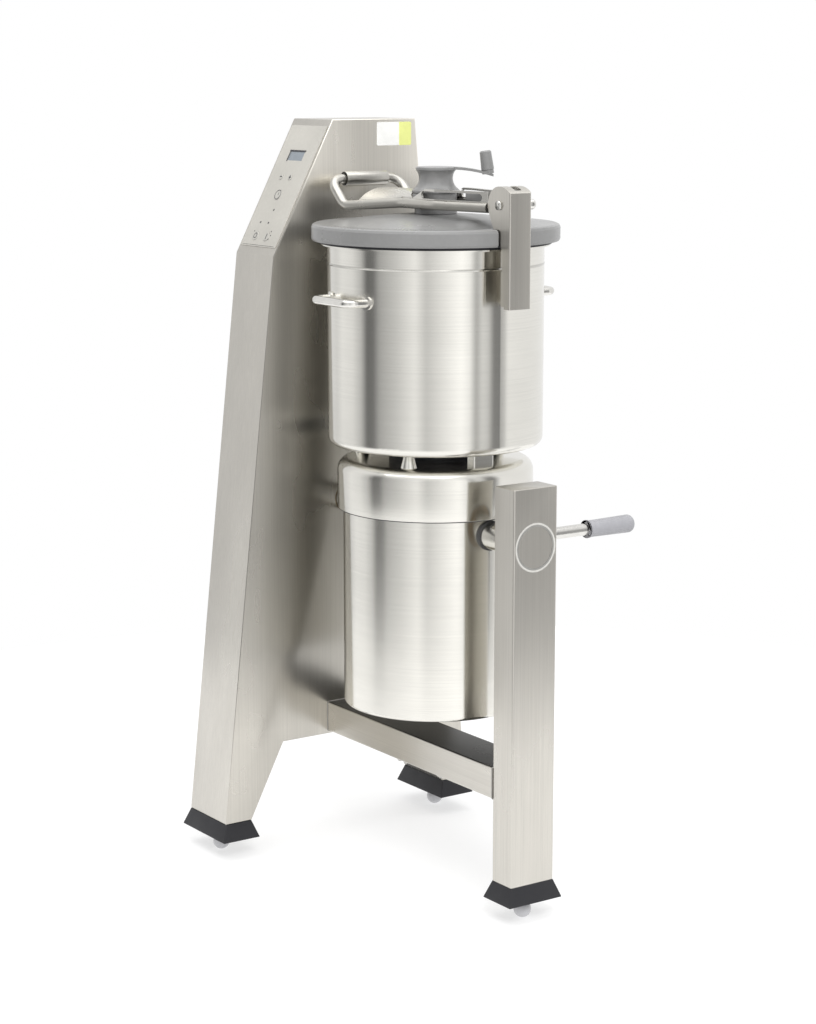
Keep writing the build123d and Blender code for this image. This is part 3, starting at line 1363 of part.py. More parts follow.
# Every node, by name
NODES = {
    "pedestal_shell": pedestal_shell(),
    "pedestal_side_panel": pedestal_side_panel(),
    "rear_cover": rear_cover(),
    "cable_gland": cable_gland(),
    "control_panel": control_panel(),
    "display_window": display_window(),
    "control_board": control_board(),
    "electric_rack": group(electric_rack(), speed_drive(), contactors(), terminal_block()),
    "cross_beam": cross_beam(),
    "right_leg": right_leg(),
    "bearing_barrel": bearing_barrel(),
    "barrel_cap": barrel_cap(),
    "tilt_bearings": group(leg_bush(), pedestal_bearing()),
    "brake_caliper": brake_pads(),
    "bolts_and_screws": group(cover_screws(), beam_bolts(), bearing_bolts()),
    "feet": group(*(foot(*corners) for corners in FEET.values())),
    "glides": group(*(glide((a + b) / 2, (c + d) / 2) for a, b, c, d in FEET.values())),
    "motor_can": motor_can(),
    "motor_cap": motor_cap(),
    "shaft_seal": shaft_seal(),
    "bowl_supports": group(bowl_rests(), bowl_locator()),
    "leg_trunnion": leg_trunnion(),
    "cable_trunnion": cable_trunnion(),
    "trunnion_ring": trunnion_ring(),
    "lever_rod": lever_rod(),
    "lever_grip": lever_grip(),
    "stator": group(stator_core(), stator_windings()),
    "end_shields": group(end_shield(LOWER_SHIELD), end_shield(UPPER_SHIELD)),
    "shaft_bearings": group(shaft_bearing(LOWER_SHIELD), shaft_bearing(UPPER_SHIELD)),
    "rotor_core": rotor_core(),
    "drive_shaft": drive_shaft(),
    "cooling_fan": cooling_fan(),
    "bowl_shell": bowl_shell(),
    "bowl_chimney": bowl_chimney(),
    "front_bail_handle": bail_handle(-1),
    "rear_bail_handle": bail_handle(1),
    "hinge_bracket": hinge_bracket(),
    "hinge_pin": hinge_pin(),
    "blade_sleeve": blade_sleeve(),
    "sickle_blades": sickle_blades(),
    "blade_spacers": blade_spacers(),
    "blade_knob": blade_knob(),
    "lid_dome": lid_dome(),
    "lid_seal": group(lid_seal(), notch_pad()),
    "lid_carrier": lid_carrier(),
    "lid_neck": lid_neck(),
    "arm_tube": arm_tube(),
    "arm_yoke": arm_yoke(),
    "arm_web": arm_web(),
    "hinge_drum": hinge_drum(),
    "roller_grip": group(roller_grip(), roller_bushes()),
    "crank_arm": crank_arm() + knob_pin(),
    "crank_knob": crank_knob(),
    "wiper_arm": wiper(),
    "wiper_blade": wiper_blade(),
}
NODES.update({name: key_cap(*place) for name, place in KEYS.items()})

os.makedirs("parts", exist_ok=True)
for name, shape in NODES.items():
    export_step(Pos(-BASE_X, -BASE_Y, 0) * shape, f"parts/{name}.step")
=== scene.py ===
import math

import bmesh
import bpy
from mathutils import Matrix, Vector


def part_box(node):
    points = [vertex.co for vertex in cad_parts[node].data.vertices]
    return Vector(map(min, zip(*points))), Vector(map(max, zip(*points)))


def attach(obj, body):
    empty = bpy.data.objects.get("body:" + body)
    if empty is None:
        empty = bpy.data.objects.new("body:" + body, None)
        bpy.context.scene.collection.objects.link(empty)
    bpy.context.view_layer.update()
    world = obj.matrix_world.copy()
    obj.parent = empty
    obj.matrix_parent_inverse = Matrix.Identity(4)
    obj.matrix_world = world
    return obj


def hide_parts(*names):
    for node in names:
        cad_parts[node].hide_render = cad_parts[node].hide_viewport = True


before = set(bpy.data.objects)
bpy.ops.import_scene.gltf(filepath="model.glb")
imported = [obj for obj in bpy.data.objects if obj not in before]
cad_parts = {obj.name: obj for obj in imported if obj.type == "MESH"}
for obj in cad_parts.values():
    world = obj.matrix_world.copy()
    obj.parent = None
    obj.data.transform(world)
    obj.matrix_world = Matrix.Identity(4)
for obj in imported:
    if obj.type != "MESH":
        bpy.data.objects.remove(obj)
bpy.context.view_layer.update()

# Camera. A long lens from the front right, a little above the lid and looking down;
# its place and lens were solved from the straight edges and circles of the picture.
CAMERA_AT = Vector((3.53054, -2.46101, 1.49332))
CAMERA_AZIMUTH = math.radians(55.318)
CAMERA_ELEVATION = math.radians(10.637)
FOCAL_PIXELS = 2360.18
IMAGE_HEIGHT = 1024
SENSOR = 36.0
VIEW_DEPTH = 50.0
camera_data = bpy.data.cameras.new("camera")
camera_data.sensor_width = SENSOR
camera_data.lens = FOCAL_PIXELS * SENSOR / IMAGE_HEIGHT
camera_data.clip_end = VIEW_DEPTH
camera = bpy.data.objects.new("camera", camera_data)
bpy.context.collection.objects.link(camera)
camera.location = CAMERA_AT
camera.rotation_euler = (math.pi / 2 - CAMERA_ELEVATION, 0.0, CAMERA_AZIMUTH)
bpy.context.scene.camera = camera

# Studio. A pale round floor under a large soft box, and a room whose walls are brighter
# and darker by turns, because bare steel shows only what stands round it.
FLOOR_RADIUS = 2.0
FLOOR_TONE = 0.42
FLOOR_GLOW = 0.60
FLOOR_ROUGH = 0.9
WALL_TONES = (
    (-180, 0.80), (-165, 0.76), (-152, 0.92), (-134, 0.86), (-121, 0.58), (-113, 0.15), (-104, 0.19),
    (-97, 0.44), (-87, 0.56), (-78, 0.66), (-68, 0.82), (-57, 1.00), (-45, 0.67), (-33, 0.86),
    (-20, 1.08), (-8, 1.27), (1, 1.08), (8, 0.46), (15, 0.80), (22, 0.72), (29, 0.24), (37, 0.22),
    (42, 0.60), (47, 1.00), (56, 0.98), (78, 0.96), (120, 0.95), (165, 0.90), (180, 0.80),
)
CEILING_TONE = 0.95
CEILING_FROM = 0.30
CEILING_FULL = 0.80
ROOM_STRENGTH = 1.3
COLOUR_A = 6
COLOUR_B = 7
COLOUR_OUT = 2


def grey(tone):
    """A neutral colour of one tone."""
    return (tone, tone, tone, 1.0)


def fill_ramp(node, tones):
    """Gives a colour ramp its grey stops: for each a place from 0 to 1, and a tone."""
    stops = node.color_ramp.elements
    while len(stops) > 1:
        stops.remove(stops[-1])
    for number, (place, tone) in enumerate(tones):
        stop = stops[0] if number == 0 else stops.new(place)
        stop.position = place
        stop.color = grey(tone)


bpy.context.scene.view_settings.view_transform = "Standard"
bpy.ops.object.select_all(action="DESELECT")
bpy.ops.mesh.primitive_circle_add(vertices=128, radius=FLOOR_RADIUS, fill_type="NGON")
floor = bpy.context.active_object
floor.name = "studio_floor"
floor_paint = bpy.data.materials.new("studio_floor_paint")
floor_paint.use_nodes = True
floor_shader = floor_paint.node_tree.nodes["Principled BSDF"]
floor_shader.inputs["Base Color"].default_value = grey(FLOOR_TONE)
floor_shader.inputs["Roughness"].default_value = FLOOR_ROUGH
floor_shader.inputs["Emission Color"].default_value = grey(1.0)
floor_shader.inputs["Emission Strength"].default_value = FLOOR_GLOW
floor.data.materials.append(floor_paint)

world = bpy.data.worlds.new("studio_room")
bpy.context.scene.world = world
world.use_nodes = True
room = world.node_tree
room_link = room.links.new
toward = room.nodes.new("ShaderNodeTexCoord")
parts = room.nodes.new("ShaderNodeSeparateXYZ")
room_link(toward.outputs["Generated"], parts.inputs["Vector"])
turn = room.nodes.new("ShaderNodeMath")
turn.operation = "ARCTAN2"
room_link(parts.outputs["Y"], turn.inputs[0])
room_link(parts.outputs["X"], turn.inputs[1])
share = room.nodes.new("ShaderNodeMapRange")
share.inputs["From Min"].default_value = -math.pi
share.inputs["From Max"].default_value = math.pi
room_link(turn.outputs["Value"], share.inputs["Value"])
walls = room.nodes.new("ShaderNodeValToRGB")
fill_ramp(walls, [((degrees + 180.0) / 360.0, tone / ROOM_STRENGTH) for degrees, tone in WALL_TONES])
room_link(share.outputs["Result"], walls.inputs["Fac"])
rise = room.nodes.new("ShaderNodeMapRange")
rise.interpolation_type = "SMOOTHSTEP"
rise.inputs["From Min"].default_value = CEILING_FROM
rise.inputs["From Max"].default_value = CEILING_FULL
room_link(parts.outputs["Z"], rise.inputs["Value"])
blend = room.nodes.new("ShaderNodeMix")
blend.data_type = "RGBA"
room_link(rise.outputs["Result"], blend.inputs["Factor"])
room_link(walls.outputs["Color"], blend.inputs[COLOUR_A])
blend.inputs[COLOUR_B].default_value = grey(CEILING_TONE / ROOM_STRENGTH)
background = room.nodes["Background"]
background.inputs["Strength"].default_value = ROOM_STRENGTH
room_link(blend.outputs[COLOUR_OUT], background.inputs["Color"])
backdrop = room.nodes.new("ShaderNodeBackground")
backdrop.inputs["Color"].default_value = grey(1.0)
seen = room.nodes.new("ShaderNodeLightPath")
either = room.nodes.new("ShaderNodeMixShader")
room_link(seen.outputs["Is Camera Ray"], either.inputs["Fac"])
room_link(background.outputs["Background"], either.inputs[1])
room_link(backdrop.outputs["Background"], either.inputs[2])
room_link(either.outputs["Shader"], room.nodes["World Output"].inputs["Surface"])


def soft_box(name, place, aim, width, height, power, mirrored=True):
    """A rectangular lamp that faces a point. Unless mirrored, bare steel doesn't show it."""
    lamp = bpy.data.lights.new(name, "AREA")
    lamp.shape = "RECTANGLE"
    lamp.size = width
    lamp.size_y = height
    lamp.energy = power
    holder = bpy.data.objects.new(name, lamp)
    bpy.context.collection.objects.link(holder)
    holder.location = place
    direction = Vector(aim) - Vector(place)
    holder.rotation_euler = direction.to_track_quat("-Z", "Y").to_euler()
    holder.visible_glossy = mirrored


soft_box("top_box", (0.2, -0.4, 4.4), (0.0, 0.0, 0.0), 5.0, 5.0, 95.0)
soft_box("side_box", (3.2, -1.5, 3.3), (0.0, 0.0, 1.0), 1.6, 1.6, 95.0, False)

# Pedestal, leg and beam. Folded stainless sheet, satin brushed before it was bent and
# welded: a fine upright grain, slow clouds from polish and wiping, and rolled folds that
# catch the light. The pedestal's inner side has painted shade where the bowl and can stand by
# it and painted light at its top; the beam's top has painted shade under the can.
SHEET_COLOUR = (0.615, 0.592, 0.545)
SHEET_ROUGH = 0.28
FOLD = 0.0019
LEG_FOLD = 0.0016
WELD_RADIUS = 0.0014
WELD_CORNER = 0.003
WELD_SUNK = 0.2
# Painted shade on the beam's top face, under the can: its tone, and how far a face must look up to take it.
BEAM_TOP_SHADE_TONE = 0.16
BEAM_TOP_SHADE_FROM = 0.6
BEAM_TOP_SHADE_FULL = 0.95
# Painted light and shade on the pedestal's inner side: a lighter colour, scaled by height so that the top
# is painted light and the band beside the bowl and can is painted shade.
SIDE_LIT_COLOUR = (0.98, 0.94, 0.855)
SIDE_TOP = 1.4
SIDE_SHADE_AND_LIGHT_TONES = (
    (0.0, 0.60), (0.24, 0.62), (0.40, 0.42), (0.62, 0.37), (0.80, 0.41), (1.14, 0.40),
    (1.25, 0.58), (1.31, 1.0), (1.4, 1.0),
)
SHEET_GRAIN = (1500.0, 1500.0, 9.0)
SHEET_CLOUD = (4.0, 4.0, 1.6)
SHEET_SMEAR = 0.35
SHEET_BUMP = 0.014
GRAIN_DEPTH = 0.0004
UPRIGHT = (0.0, 0.0, 1.0)
MERGE_GAP = 0.00002
FLAT_ANGLE = math.radians(0.5)
SHARP_FOLD = 0.25
SAME_PLACE = 0.0001
LONG_EDGE = 0.03
SLOPE_EDGE = 0.14
WHOLE_WIDTH = 0.9


def effect_group(name, inputs, outputs):
    """An empty shader node group with its sockets."""
    tree = bpy.data.node_groups.new(name, "ShaderNodeTree")
    for label, kind in inputs:
        tree.interface.new_socket(name=label, in_out="INPUT", socket_type=kind)
    for label, kind in outputs:
        tree.interface.new_socket(name=label, in_out="OUTPUT", socket_type=kind)
    return tree, tree.nodes.new("NodeGroupInput"), tree.nodes.new("NodeGroupOutput")


def noise(tree, scale, detail, roughness=0.55):
    """A noise texture node with its numbers set."""
    texture = tree.nodes.new("ShaderNodeTexNoise")
    texture.inputs["Scale"].default_value = scale
    texture.inputs["Detail"].default_value = detail
    texture.inputs["Roughness"].default_value = roughness
    return texture


def spread(tree, value, low, high, start=0.3, end=0.7):
    """Maps a value from start..end to low..high."""
    node = tree.nodes.new("ShaderNodeMapRange")
    node.inputs["From Min"].default_value = start
    node.inputs["From Max"].default_value = end
    node.inputs["To Min"].default_value = low
    node.inputs["To Max"].default_value = high
    tree.links.new(value, node.inputs["Value"])
    return node.outputs["Result"]


def multiply(tree, first, second):
    """Multiplies two values."""
    node = tree.nodes.new("ShaderNodeMath")
    node.operation = "MULTIPLY"
    tree.links.new(first, node.inputs[0])
    tree.links.new(second, node.inputs[1])
    return node.outputs["Value"]


def build_grain_group():
    """Brushed metal: hairlines, broader scratches, and the slow clouds of polishing."""
    tree, source, sink = effect_group(
        "brushed_grain",
        [("Grain Vector", "NodeSocketVector"), ("Cloud Vector", "NodeSocketVector")],
        [("Tone", "NodeSocketFloat"), ("Height", "NodeSocketFloat"), ("Gloss", "NodeSocketFloat")],
    )
    hair = noise(tree, 1.0, 5.0, 0.7)
    scratch = noise(tree, 0.21, 3.0, 0.6)
    cloud = noise(tree, 1.0, 3.0, 0.5)
    wipe = noise(tree, 3.7, 2.0, 0.5)
    for texture, label in ((hair, "Grain Vector"), (scratch, "Grain Vector")):
        tree.links.new(source.outputs[label], texture.inputs["Vector"])
    for texture, label in ((cloud, "Cloud Vector"), (wipe, "Cloud Vector")):
        tree.links.new(source.outputs[label], texture.inputs["Vector"])
    lines = multiply(
        tree,
        spread(tree, hair.outputs["Fac"], 0.94, 1.04),
        spread(tree, scratch.outputs["Fac"], 0.95, 1.03),
    )
    clouds = multiply(
        tree,
        spread(tree, cloud.outputs["Fac"], 0.96, 1.03),
        spread(tree, wipe.outputs["Fac"], 0.98, 1.02),
    )
    tree.links.new(multiply(tree, lines, clouds), sink.inputs["Tone"])
    tree.links.new(hair.outputs["Fac"], sink.inputs["Height"])
    gloss = multiply(
        tree,
        spread(tree, cloud.outputs["Fac"], 1.12, 0.90),
        spread(tree, wipe.outputs["Fac"], 1.06, 0.95),
    )
    tree.links.new(gloss, sink.inputs["Gloss"])
    return tree


grain_group = build_grain_group()


def steel(name, colour, rough, grain, cloud, smear, run, bump=0.03):
    """Brushed steel. Reflections smear along run: a direction, or level round the piece."""
    material = bpy.data.materials.new(name)
    material.use_nodes = True
    tree = material.node_tree
    shader = tree.nodes["Principled BSDF"]
    shader.inputs["Metallic"].default_value = 1.0
    shader.inputs["Anisotropic"].default_value = smear
    coords = tree.nodes.new("ShaderNodeTexCoord")
    group = tree.nodes.new("ShaderNodeGroup")
    group.node_tree = grain_group
    for label, scale in (("Grain Vector", grain), ("Cloud Vector", cloud)):
        stretch = tree.nodes.new("ShaderNodeMapping")
        stretch.inputs["Scale"].default_value = scale
        tree.links.new(coords.outputs["Object"], stretch.inputs["Vector"])
        tree.links.new(stretch.outputs["Vector"], group.inputs[label])
    tint = tree.nodes.new("ShaderNodeVectorMath")
    tint.operation = "SCALE"
    tint.inputs[0].default_value = colour
    tree.links.new(group.outputs["Tone"], tint.inputs["Scale"])
    tree.links.new(tint.outputs["Vector"], shader.inputs["Base Color"])
    gloss = spread(tree, group.outputs["Gloss"], 0.8 * rough, 1.2 * rough, 0.8, 1.2)
    tree.links.new(gloss, shader.inputs["Roughness"])
    relief = tree.nodes.new("ShaderNodeBump")
    relief.inputs["Strength"].default_value = bump
    relief.inputs["Distance"].default_value = GRAIN_DEPTH
    tree.links.new(group.outputs["Height"], relief.inputs["Height"])
    tree.links.new(relief.outputs["Normal"], shader.inputs["Normal"])
    along = tree.nodes.new("ShaderNodeVectorMath")
    if run == "level":
        along.operation = "CROSS_PRODUCT"
        tree.links.new(coords.outputs["Normal"], along.inputs[0])
        along.inputs[1].default_value = UPRIGHT
    else:
        along.operation = "ADD"
        along.inputs[0].default_value = run
    swing = tree.nodes.new("ShaderNodeVectorTransform")
    swing.vector_type = "VECTOR"
    swing.convert_from = "OBJECT"
    swing.convert_to = "WORLD"
    tree.links.new(along.outputs["Vector"], swing.inputs["Vector"])
    tree.links.new(swing.outputs["Vector"], shader.inputs["Tangent"])
    return material


def even(scale):
    """The same scale along all three axes, for a grain without a direction."""
    return (scale, scale, scale)


def part_of(tree, source, axis):
    """One axis of where a point lies on the piece, or of where its surface faces."""
    coords = tree.nodes.new("ShaderNodeTexCoord")
    split = tree.nodes.new("ShaderNodeSeparateXYZ")
    tree.links.new(coords.outputs[source], split.inputs["Vector"])
    return split.outputs[axis]


def tone_by(material, value):
    """Makes a finish lighter or darker by a value that changes over the surface."""
    tree = material.node_tree
    shader = tree.nodes["Principled BSDF"]
    tone = shader.inputs["Base Color"].links[0].from_socket
    shade = tree.nodes.new("ShaderNodeVectorMath")
    shade.operation = "SCALE"
    tree.links.new(tone, shade.inputs[0])
    tree.links.new(value, shade.inputs["Scale"])
    tree.links.new(shade.outputs["Vector"], shader.inputs["Base Color"])


def dress(material, *nodes):
    """Gives nodes of the frame their finish."""
    for node in nodes:
        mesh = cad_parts[node].data
        mesh.materials.clear()
        mesh.materials.append(material)


def open_piece(piece):
    """Puts one piece alone into edit mode and gives its mesh."""
    bpy.ops.object.select_all(action="DESELECT")
    piece.select_set(True)
    bpy.context.view_layer.objects.active = piece
    bpy.ops.object.mode_set(mode="EDIT")
    return bmesh.from_edit_mesh(piece.data)


def close_piece(angle=35.0):
    """Leaves edit mode and smooths the faces that meet at a small angle."""
    bpy.ops.object.mode_set(mode="OBJECT")
    bpy.ops.object.shade_smooth_by_angle(angle=math.radians(angle))


def merged_copy(node, name):
    """A piece in edit mode with a node's mesh, merged, and with no lines across its flats."""
    piece = bpy.data.objects.new(name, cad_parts[node].data.copy())
    bpy.context.collection.objects.link(piece)
    open_piece(piece)
    bpy.ops.mesh.customdata_custom_splitnormals_clear()
    bpy.ops.mesh.select_all(action="SELECT")
    bpy.ops.mesh.remove_doubles(threshold=MERGE_GAP)
    bpy.ops.mesh.dissolve_limited(angle_limit=FLAT_ANGLE)
    return piece


def rolled_copy(node, name, width, chosen, body, material):
    """A copy of a sheet of the frame whose chosen outer edges are rolled over."""
    piece = merged_copy(node, name)
    bpy.ops.mesh.select_all(action="DESELECT")
    bpy.ops.mesh.select_mode(type="EDGE")
    shape = bmesh.from_edit_mesh(piece.data)
    for edge in shape.edges:
        if len(edge.link_faces) == 2 and edge.calc_face_angle_signed() > SHARP_FOLD:
            edge.select = chosen(edge.verts[0].co, edge.verts[1].co)
    bmesh.update_edit_mesh(piece.data)
    bpy.ops.mesh.bevel(offset=width, segments=3, affect="EDGES", clamp_overlap=False)
    close_piece()
    piece.data.materials.clear()
    piece.data.materials.append(material)
    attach(piece, body)
    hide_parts(node)
    return piece


def at(value, target):
    """Whether two measures are the same."""
    return abs(value - target) < SAME_PLACE


satin_sheet = steel(
    "satin_sheet", SHEET_COLOUR, SHEET_ROUGH, SHEET_GRAIN, SHEET_CLOUD, SHEET_SMEAR, "level", SHEET_BUMP
)
shaded_side_sheet = steel(
    "shaded_side_sheet", SIDE_LIT_COLOUR, SHEET_ROUGH, SHEET_GRAIN, SHEET_CLOUD, SHEET_SMEAR, "level", SHEET_BUMP
)
# The height ramp that paints light at the top of the inner side and shade beside the bowl and can.
side_tree = shaded_side_sheet.node_tree
side_height = spread(side_tree, part_of(side_tree, "Object", "Z"), 0.0, 1.0, 0.0, SIDE_TOP)
side_shade_ramp = side_tree.nodes.new("ShaderNodeValToRGB")
fill_ramp(side_shade_ramp, [(height / SIDE_TOP, tone) for height, tone in SIDE_SHADE_AND_LIGHT_TONES])
side_tree.links.new(side_height, side_shade_ramp.inputs["Fac"])
tone_by(shaded_side_sheet, side_shade_ramp.outputs["Color"])
shell_low, shell_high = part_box("pedestal_shell")
side_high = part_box("pedestal_side_panel")[1]
rolled_copy(
    "pedestal_side_panel", "pedestal_inner_side", FOLD,
    lambda a, b: at(a.x, side_high.x) and at(b.x, side_high.x) and (a - b).length > LONG_EDGE,
    "stand", shaded_side_sheet,
)
rolled_copy(
    "pedestal_shell", "pedestal_wrap", FOLD,
    lambda a, b: (at(a.x, shell_low.x) and at(b.x, shell_low.x))
    or (abs(a.x - b.x) > WHOLE_WIDTH * (shell_high.x - shell_low.x) and (a - b).length < SLOPE_EDGE),
    "stand", satin_sheet,
)
leg_low, leg_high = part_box("right_leg")
rolled_copy(
    "right_leg", "leg_post", LEG_FOLD,
    lambda a, b: at(a.z, leg_high.z) and at(b.z, leg_high.z), "stand", satin_sheet,
)
dress(satin_sheet, "rear_cover", "barrel_cap", "bolts_and_screws")
shaded_beam_sheet = steel(
    "shaded_beam_sheet", SHEET_COLOUR, SHEET_ROUGH, (9.0, 1500.0, 1500.0), (1.6, 4.0, 4.0), 0.6, (0.0, 0.4, 1.0)
)
# Painted shade: the faces of the beam that look up are darkened.
beam_tree = shaded_beam_sheet.node_tree
beam_facing = part_of(beam_tree, "Normal", "Z")
tone_by(shaded_beam_sheet, spread(beam_tree, beam_facing, 1.0, BEAM_TOP_SHADE_TONE, BEAM_TOP_SHADE_FROM, BEAM_TOP_SHADE_FULL))
dress(shaded_beam_sheet, "cross_beam")


def weld_round_beam(name, x, low, high, outward):
    """A bead round the beam's end, from a frame of edges given a round section."""
    bpy.ops.object.select_all(action="DESELECT")
    middle = (Vector(low) + Vector(high)) / 2
    place = (x + outward * WELD_SUNK * WELD_RADIUS, middle.y, middle.z)
    bpy.ops.mesh.primitive_plane_add(size=1.0, location=place, rotation=(0.0, math.pi / 2, 0.0))
    piece = bpy.context.active_object
    piece.name = name
    piece.scale = (high[2] - low[2], high[1] - low[1], 1.0)
    bpy.ops.object.transform_apply(location=True, rotation=True, scale=True)
    bpy.ops.object.mode_set(mode="EDIT")
    bpy.ops.mesh.select_all(action="SELECT")
    bpy.ops.mesh.bevel(offset=WELD_CORNER, segments=4, affect="VERTICES")
    bpy.ops.mesh.select_all(action="SELECT")
    bpy.ops.mesh.delete(type="ONLY_FACE")
    bpy.ops.object.mode_set(mode="OBJECT")
    bpy.ops.object.convert(target="CURVE")
    piece.data.bevel_depth = WELD_RADIUS
    piece.data.bevel_resolution = 3
    bpy.ops.object.convert(target="MESH")
    bpy.ops.object.shade_smooth()
    return piece


weld_steel = steel("weld_steel", (0.34, 0.33, 0.31), 0.42, even(260.0), even(30.0), 0.0, "level", 0.3)
beam_low, beam_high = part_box("cross_beam")
for label, x, outward in (("pedestal", side_high.x, 1.0), ("leg", leg_low.x, -1.0)):
    bead = weld_round_beam("beam_weld_" + label, x, beam_low, beam_high, outward)
    bead.data.materials.append(weld_steel)
    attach(bead, "stand")

# Nuts under the beam. Two domed nuts of plated steel on the bolts of the stop that the
# can rests against when it comes upright.
NUT_RADIUS = 0.0075
NUT_DROP = 0.009
NUT_SPACING = 0.133
NUT_INWARD = 2.2 * NUT_RADIUS
NUT_SKIRT = 0.45 * NUT_DROP
NUT_DOME = ((0.86, 0.0), (0.93, 0.22), (0.82, 0.18), (0.6, 0.11), (0.3, 0.04))
nut_steel = steel("nut_steel", (0.50, 0.49, 0.47), 0.35, even(500.0), even(40.0), 0.0, "level", 0.05)
can_low, can_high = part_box("motor_can")
for label, side in (("near", -0.5), ("far", 0.5)):
    nut_x = (can_low.x + can_high.x) / 2 + side * NUT_SPACING
    bpy.ops.object.select_all(action="DESELECT")
    bpy.ops.mesh.primitive_circle_add(
        vertices=6, radius=NUT_RADIUS, fill_type="NGON",
        location=(nut_x, beam_low.y + NUT_INWARD, beam_low.z),
        rotation=(math.pi, 0.0, 0.0),
    )
    nut = bpy.context.active_object
    nut.name = "beam_nut_" + label
    bpy.ops.object.transform_apply(location=True, rotation=True, scale=True)
    middle = (nut.data.vertices[0].co + nut.data.vertices[3].co) / 2
    bpy.ops.object.mode_set(mode="EDIT")
    bpy.ops.mesh.select_all(action="SELECT")
    bpy.ops.mesh.extrude_region_move(TRANSFORM_OT_translate={"value": (0.0, 0.0, -NUT_SKIRT)})
    for shrink, drop in NUT_DOME:
        bpy.ops.mesh.extrude_region_move(TRANSFORM_OT_translate={"value": (0.0, 0.0, -drop * NUT_DROP)})
        bpy.ops.transform.resize(value=(shrink, shrink, 1.0), center_override=middle)
    bpy.ops.mesh.select_all(action="SELECT")
    bpy.ops.mesh.normals_make_consistent(inside=False)
    close_piece(40.0)
    nut.data.materials.append(nut_steel)
    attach(nut, "stand")

# Control panel. A grey foil glued on a plate, printed with thin signs for its keys: a ring
# for the speed, plus and minus for the timer, small lamps, and a round and a bar for stop
# and start. A clear window covers the display, with painted shade in two dark strips along its top and left
# edges.
FOIL_COLOUR = (0.47, 0.455, 0.415)
INK_COLOUR = (0.035, 0.035, 0.04)
GLASS_COLOUR = (0.20, 0.23, 0.26)
COAT_ROUGH = 0.22
PRINT_THICKNESS = 0.00015
KEY_COLOUR = (0.44, 0.43, 0.395)
SLOPE_RUN = 132.0
SLOPE_RISE = 250.0
PANEL_LEAN = math.atan2(SLOPE_RUN, SLOPE_RISE)
PANEL_THICKNESS = 0.0015
PANEL_START = 0.016
KEY_PROUD = 0.00105
LAMP_RADIUS = 0.0022
LAMP_LINE = 0.0015
DOT_RADIUS = 0.0014
DOT_LINE = 0.0011
DOT_PLACES = ((0.026, 0.048), (0.029, 0.040), (0.026, 0.032), (-0.033, 0.046))
# Painted shade: two dark strips along the display window's top and left edges.
SHADE_STRIP_WIDTH = 0.0030
SHADE_STRIP_SIDE_WIDTH = 0.0028
SHADE_STRIP_PROUD = 0.0004
SHADE_STRIP_UP = 0.40
SHADE_STRIP_ACROSS = 0.93
SHADE_STRIP_DOWN = 0.8


def build_grit_group():
    """Moulded and printed surfaces: a fine grain, a slow mottle and faint dust."""
    tree, source, sink = effect_group(
        "moulded_grain",
        [("Vector", "NodeSocketVector"), ("Fine", "NodeSocketFloat"), ("Slow", "NodeSocketFloat")],
        [("Height", "NodeSocketFloat"), ("Tone", "NodeSocketFloat"), ("Gloss", "NodeSocketFloat")],
    )
    fine = noise(tree, 900.0, 4.0, 0.6)
    slow = noise(tree, 14.0, 5.0, 0.55)
    dust = noise(tree, 160.0, 2.0, 0.5)
    for texture in (fine, slow, dust):
        tree.links.new(source.outputs["Vector"], texture.inputs["Vector"])
    tree.links.new(source.outputs["Fine"], fine.inputs["Scale"])
    tree.links.new(source.outputs["Slow"], slow.inputs["Scale"])
    tree.links.new(fine.outputs["Fac"], sink.inputs["Height"])
    tone = multiply(
        tree,
        spread(tree, slow.outputs["Fac"], 0.93, 1.06),
        spread(tree, dust.outputs["Fac"], 0.985, 1.03, 0.45, 0.75),
    )
    tree.links.new(tone, sink.inputs["Tone"])
    tree.links.new(spread(tree, slow.outputs["Fac"], 1.12, 0.88), sink.inputs["Gloss"])
    return tree


grit_group = build_grit_group()


def moulding(name, colour, rough, fine=900.0, slow=14.0, bump=0.06, coat=0.0):
    """Moulded plastic, rubber, foil or print, with its grain, mottle and sheen."""
    material = bpy.data.materials.new(name)
    material.use_nodes = True
    tree = material.node_tree
    shader = tree.nodes["Principled BSDF"]
    shader.inputs["Coat Weight"].default_value = coat
    shader.inputs["Coat Roughness"].default_value = COAT_ROUGH
    coords = tree.nodes.new("ShaderNodeTexCoord")
    group = tree.nodes.new("ShaderNodeGroup")
    group.node_tree = grit_group
    group.inputs["Fine"].default_value = fine
    group.inputs["Slow"].default_value = slow
    tree.links.new(coords.outputs["Object"], group.inputs["Vector"])
    tint = tree.nodes.new("ShaderNodeVectorMath")
    tint.operation = "SCALE"
    tint.inputs[0].default_value = colour
    tree.links.new(group.outputs["Tone"], tint.inputs["Scale"])
    tree.links.new(tint.outputs["Vector"], shader.inputs["Base Color"])
    gloss = spread(tree, group.outputs["Gloss"], 0.85 * rough, min(1.0, 1.15 * rough), 0.85, 1.15)
    tree.links.new(gloss, shader.inputs["Roughness"])
    relief = tree.nodes.new("ShaderNodeBump")
    relief.inputs["Strength"].default_value = bump
    relief.inputs["Distance"].default_value = GRAIN_DEPTH
    tree.links.new(group.outputs["Height"], relief.inputs["Height"])
    tree.links.new(relief.outputs["Normal"], shader.inputs["Normal"])
    return material


panel_foil = moulding("panel_foil", FOIL_COLOUR, 0.42, 1300.0, 9.0, 0.04)
key_foil = moulding("key_foil", KEY_COLOUR, 0.38, 1300.0, 30.0, 0.04)
panel_ink = moulding("panel_ink", INK_COLOUR, 0.45, 1500.0, 60.0, 0.02)
display_glass = moulding("display_glass", GLASS_COLOUR, 0.12, 300.0, 40.0, 0.0, 0.6)
dress(panel_foil, "control_panel")
dress(key_foil, "key_timer_minus", "key_timer_plus", "key_speed_ring", "key_stop", "key_start")
dress(display_glass, "display_window")

